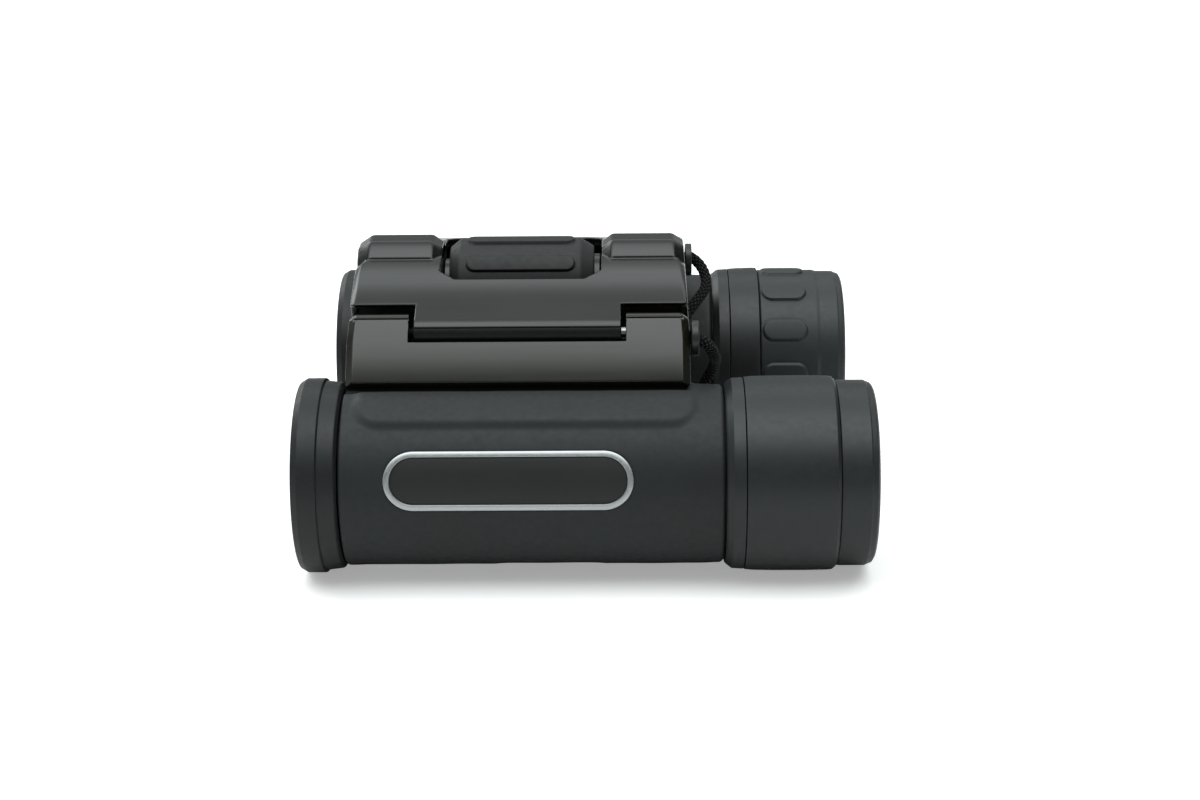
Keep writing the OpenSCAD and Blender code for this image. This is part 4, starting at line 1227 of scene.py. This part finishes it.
def arms():
    for s in (-1, 1):
        sd = side_name(s)
        lo = (-39.3, (17.6 if s > 0 else -30.4), 25.2)
        hi = (17.3, (30.4 if s > 0 else -17.6), 40.3)
        surface(f"hinge_arm_{sd}_cast", arm_field(s), lo, hi, 0.185, M_ARM, f"barrel_{sd}", (f"hinge_arm_{sd}",))


# ------------------------------------------------------------------ bridge cover
KY = np.array([0.0, 6.5, 12.0, 16.0, 19.5, 22.406])
KZ = np.array([7.95, 7.55, 6.55, 5.40, 3.87, 2.536])
KS = np.array([0.0, -0.115, -0.235, -0.375, -0.49, -0.554])


# section of the bosses: slope angle against y, and the height that follows from it
BOSS_Y = np.arange(0.0, 8.01, 0.05)
BOSS_S = np.tan(np.radians(np.interp(BOSS_Y, [0.0, 1.75, 2.15, 3.0, 4.6, 4.95, 8.0], [0.0, 0.0, 25.0, 33.0, 40.0, 46.0, 46.0])))
BOSS_Z = 10.15 - np.concatenate([[0.0], np.cumsum((BOSS_S[1:] + BOSS_S[:-1]) / 2 * 0.05)])


def roof(y):
    """Height and slope of the cover's outer skin, over the hinge axes."""
    y = np.abs(y)
    i = np.clip(np.searchsorted(KY, y, side="right") - 1, 0, len(KY) - 2)
    h = KY[i + 1] - KY[i]
    t = (y - KY[i]) / h
    t2, t3 = t * t, t * t * t
    z = (2 * t3 - 3 * t2 + 1) * KZ[i] + (t3 - 2 * t2 + t) * h * KS[i] + (-2 * t3 + 3 * t2) * KZ[i + 1] + (t3 - t2) * h * KS[i + 1]
    dz = ((6 * t2 - 6 * t) * KZ[i] + (3 * t2 - 4 * t + 1) * h * KS[i] + (-6 * t2 + 6 * t) * KZ[i + 1] + (3 * t2 - 2 * t) * h * KS[i + 1]) / h
    out = y > KY[-1]
    z = np.where(out, KZ[-1] + (y - KY[-1]) * KS[-1], z)
    dz = np.where(out, KS[-1], dz)
    return z, dz


def cover_field(x, yy, zz, inside=False):
    y = np.abs(yy)
    z = zz - HZ
    rz_, sl = roof(y)
    top = (z - rz_) / np.sqrt(1 + sl * sl)
    dh = np.hypot(y - HY, z)
    ang = np.arctan2(z, y - HY)
    # the ends draw in towards the top
    xa = BX0 + 0.46 - 0.26 * smooth((z - 4.5) / 3.0) - x
    xb = x - BX1 + 0.065 * np.clip(z + 1, 0, 11)
    ends = np.maximum(xa, xb)
    # skin, which ends in a rolled lip round the hinge
    skin_in = (rz_ - 1.5 - z) / np.sqrt(1 + sl * sl)
    lip_cut = (y - HY) * math.sin(math.radians(61)) - (z) * math.cos(math.radians(61))
    skin = np.maximum(np.maximum(top, skin_in), lip_cut)
    # the lip: a band of the roll from 61 down to 37 degrees
    low = math.sin(math.radians(37)) * (y - HY) - math.cos(math.radians(37)) * z
    lip = imax(np.maximum(dh - 2.9, 1.35 - dh), low, 0.18)
    lip = np.maximum(lip, -(y - 19.6))
    xk = np.maximum(BXC - 16.8 - x, x - (BXC + 16.8))
    lip = imax(lip, xk, 0.18)
    knuckle = np.maximum(dh - 2.38, xk + 0.02)
    knuckle = np.minimum(knuckle, np.maximum(np.maximum(np.abs(z + 1.9) - 0.7, np.maximum(14.8 - y, y - 20.6)), xk + 0.02))
    knuckle = np.maximum(knuckle, PIN_R - dh)
    # end walls, side walls, the walls that carry the axle
    fullz = np.maximum(np.maximum(top, -5.1 - z), y - 17.0)
    endw = np.maximum(fullz, np.minimum(x - (BX0 + 1.5), BX1 - 1.5 - x))
    side = np.maximum(np.maximum(15.0 - y, y - 16.2), np.maximum(np.maximum(-5.1 - z, top), ends + 0.6))
    axw = np.minimum(np.maximum(-26.3 - x, x + 24.8), np.maximum(2.6 - x, x - 4.1))
    axw = np.maximum(np.maximum(axw, y - 9.0), np.maximum(-5.1 - z, z - 6.9))
    post = np.minimum(np.hypot(x + 36.3, y - 12), np.hypot(x - 13.8, y - 12)) - 1.7
    post = np.maximum(np.maximum(post, -5.1 - z), top)
    shell = np.minimum(skin, endw)
    # room for the arms' ears, with a soft edge
    ear = np.maximum(dh - 4.7, -(xk))
    shell = cut(shell, ear, 0.3)
    shell = umin(shell, lip, 0.1)
    # bosses: a flat top, a front that steepens down to a low foot, and a facet at each end
    zt = np.interp(y, BOSS_Y, BOSS_Z)
    dzt = np.interp(y, BOSS_Y, BOSS_S)
    nt = np.sqrt(1 + dzt * dzt)
    sl2 = ((z - 8.2) * 0.10 + (y - 4.95) * 0.75) / math.hypot(0.10, 0.75)
    top_b = (z - zt) / nt
    sec = imax(np.maximum(top_b, -(z - 4.0)), sl2, 0.13)
    env = np.where(y < 4.95, zt, rz_ + np.interp(y, [4.95, 7.0, 20.0, 24.0], [0.47, 0.80, 1.10, 1.25]))

    def facet(base, t, w, dep):
        """Plane that falls by dep over the last w before an end; t is the distance from that end."""
        return (base + dep * (1 - t / w)) / math.hypot(1.0, dep / w)

    def block(a, b):
        return imax(sec, np.maximum(a - x, x - b), 0.25)

    b1 = imax(block(BX0 - 3, -24.3), facet(top_b, -24.3 - x, 2.0, 1.45), 0.22)
    b2 = imax(block(2.3, BX1 + 3), facet(top_b, x - 2.3, 1.86, 1.45), 0.22)
    bosses = np.minimum(b1, b2)
    # one cut for both ends, rounder along the skirt than at the bosses
    d = imax(umin(shell, bosses, 0.14), ends, 0.22 + 0.2 * smooth((y - 5.5) / 2.0))
    # the outer facets run on down into the corners of the skirt
    te = (z - env) / np.where(y < 4.95, nt, 1.15)
    d = imax(d, facet(te, -xa, 2.2, 1.45), 0.2)
    d = imax(d, facet(te, -xb, 1.8, 1.25), 0.2)
    # wheel opening, cut straight down through the skin
    dpx = np.abs(x + 11.1)
    hx = imax(dpx - 13.4, (dpx + y - 22.75) / math.sqrt(2), 0.4)
    opening = imax(np.maximum(hx, y - 12.0), -(z - 1.95), 0.1)
    d = cut(d, opening, 0.22)
    if inside:
        d = np.minimum(knuckle, np.maximum(np.minimum(side, np.minimum(axw, post)), top + 0.7))
        d = np.maximum(d, -ear)
    # hollows under the bosses, the axle's holes
    hol = np.maximum(np.maximum(y - 4.2, np.maximum(3.0 - z, z - 7.5)),
                     np.minimum(np.maximum(BX0 + 3.0 - x, x - (BX0 + 12.6)), np.maximum(4.6 - x, x - 13.9)))
    d = np.maximum(d, -hol)
    d = np.maximum(d, -np.maximum(np.hypot(y, z - 1.95) - 2.62, np.maximum(-27 - x, x - 5)))
    # way of the carriage's legs, and the pocket for the collar on the pin
    sx = np.maximum(SLOT[0] - x, x - SLOT[1])
    d = np.maximum(d, -np.maximum(sx, np.maximum(np.maximum(14 - y, y - 19), np.maximum(-1.2 - z, z - 1.7))))
    d = np.maximum(d, -np.maximum(sx, dh - 2.42))
    sect = np.maximum(np.maximum(sx, z + 0.2), np.maximum((y - HY) * 0.46 + z * 0.89, -(y - HY) * 0.85 + z * 0.53))
    d = np.maximum(d, -np.maximum(sect, dh - 11))
    return d


def cover_dark(V):
    """1 on the hidden faces of the shell, which aren't polished."""
    y, z = np.abs(V[:, 1]), V[:, 2] - HZ
    rz_, _ = roof(y)
    inner = (z < rz_ - 1.0) & (y < 19) & (V[:, 0] > BX0 + 0.7) & (V[:, 0] < BX1 - 0.7)
    return inner.astype(float)


def knuckle_skin(s):
    """The knuckle's own round face that shows below the rolled lip, a thin shell over the sliding collar."""
    ro, ri = 2.64, 2.43
    arc = [(ro, a) for a in np.linspace(44, -27, 25)] + [(ri, a) for a in np.linspace(-27, 44, 25)]
    xs = [BXC - 16.8, BXC - 16.68] + list(np.linspace(BXC - 16.3, BXC + 16.3, 9)) + [BXC + 16.68, BXC + 16.8]
    V, m = [], len(arc)
    for x in xs:
        e = 0.08 if x in (xs[0], xs[-1]) else 0.0
        for r, a in arc:
            rr = r - e * (1 if r == ro else 0)
            V.append((x, s * (HY + rr * math.cos(math.radians(a))), HZ + rr * math.sin(math.radians(a))))
    faces = []
    for i in range(len(xs) - 1):
        for j in range(m):
            faces.append((i * m + j, i * m + (j + 1) % m, (i + 1) * m + (j + 1) % m, (i + 1) * m + j))
    faces.append(tuple(range(m - 1, -1, -1)))
    faces.append(tuple((len(xs) - 1) * m + j for j in range(m)))
    ob = add_mesh(f"bridge_knuckle_{side_name(s)}_face", np.array(V), faces, M_KNUCKLE, "bridge", ("bridge_cover",), sharp=40)
    fix_normals(ob, 40)


def fix_normals(ob, sharp):
    import bmesh
    bm = bmesh.new()
    bm.from_mesh(ob.data)
    bmesh.ops.remove_doubles(bm, verts=bm.verts, dist=1e-7)
    bmesh.ops.recalc_face_normals(bm, faces=bm.faces)
    bm.to_mesh(ob.data)
    bm.free()
    ob.data.set_sharp_from_angle(angle=math.radians(sharp))


def bridge():
    mat = gloss("bridge_cover_moulding", [0.0042, 0.0051, 0.0049], rough=0.2, spec=0.54, peel=0.003)
    # the inside is plain matt black
    b = mat.bsdf
    dark = mat.attr("dark")
    src = b.inputs["Base Color"].links[0].from_socket
    mat.link(mat.mix(dark, src, [0.006, 0.006, 0.0062]), b.inputs["Base Color"])
    rs = b.inputs["Roughness"].links[0].from_socket
    mat.link(mat.math("ADD", rs, mat.math("MULTIPLY", dark, 0.3)), b.inputs["Roughness"])
    surface("bridge_cover_shell", cover_field, (BX0 - 0.6, -24.6, HZ - 5.7), (BX1 + 0.6, 24.6, TOP + 0.6), 0.3,
            mat, "bridge", ("bridge_cover",), extra={"dark": cover_dark})
    surface("bridge_cover_ribs", lambda x, y, z: cover_field(x, y, z, True), (BX0 - 0.6, -24.6, HZ - 5.7), (BX1 + 0.6, 24.6, TOP + 0.6),
            0.4, M_MATT, "bridge", ("bridge_cover",))
    for s in (-1, 1):
        knuckle_skin(s)


# ------------------------------------------------------------------ small parts on the bridge
def lug_field(s):
    cy, cz = HY + 1.2, HZ - 0.7
    hy_, hz_ = HY + 2.5, HZ - 0.5

    def f(x, y, z):
        y = y * s
        r = np.hypot(y - cy, z - cz)
        d = imax(r - 2.9, np.maximum(17.05 - x, x - 18.25), 0.22)
        d = np.maximum(d, PIN_R - np.hypot(y - HY, z - HZ))
        return cut(d, np.hypot(y - hy_, z - hz_) - 0.97, 0.12)

    return f


def small_parts():
    for s in (-1, 1):
        sd = side_name(s)
        lo = (16.8, (18.8 if s > 0 else -25.6), 32.8)
        hi = (18.6, (25.6 if s > 0 else -18.8), 39.4)
        surface(f"strap_lug_{sd}_disc", lug_field(s), lo, hi, 0.11, M_LUG, "bridge", (f"strap_lug_{sd}",))
        pin = lathe(f"hinge_pin_{sd}_steel", [(-38.3, 0), (-38.3, PIN_R, 0.3), (2.0, PIN_R, 0), (4.5, PIN_R, 0), (4.9, PIN_R, 0), (16.2, PIN_R, 0), (16.9, PIN_R, 0), (18.15, PIN_R, 0.25),
                    (18.15, 0)], M_PIN, "bridge", (f"hinge_pin_{sd}",), s * HY, HZ, n=48)
        # mask of the painted shade: 1 on the pin outside the steel run in the rear ears
        at = pin.data.attributes.new("black", "FLOAT", "POINT")
        at.data.foreach_set("value", [0.0 if 4.6 < v.co.x * 1000 < 16.5 else 1.0 for v in pin.data.vertices])


for side_ in (-1, 1):
    barrel_rounds(side_)
    armour(side_)
badge()
diopter_grip()
focus_wheel()
arms()
bridge()
small_parts()

# ------------------------------------------------------------------ materials of the CAD pieces that stay
KEEP = {"bridge_base": M_MATT, "base_screws": M_STEEL, "axle_bushes": M_BRASS, "focus_screw": M_STEEL, "screw_clip": M_STEEL,
        "focus_carriage": M_MECH, "focus_nut": M_BRASS, "diopter_ring": M_MECH}
for sd_ in ("left", "right"):
    KEEP.update({f"barrel_tube_{sd_}": M_ALU, f"prism_cage_{sd_}": M_MECH, f"entry_prism_{sd_}": M_PRISM, f"roof_prism_{sd_}": M_PRISM,
                 f"field_stop_{sd_}": M_MECH, f"objective_cell_{sd_}": M_MECH})
for ob_ in bpy.context.scene.objects:
    node = ob_.get("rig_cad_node")
    if node in KEEP and ob_.type == "MESH":
        if not ob_.material_slots:
            ob_.data.materials.append(None)
        for slot_ in ob_.material_slots:
            slot_.link = "OBJECT"
            slot_.material = KEEP[node].mat
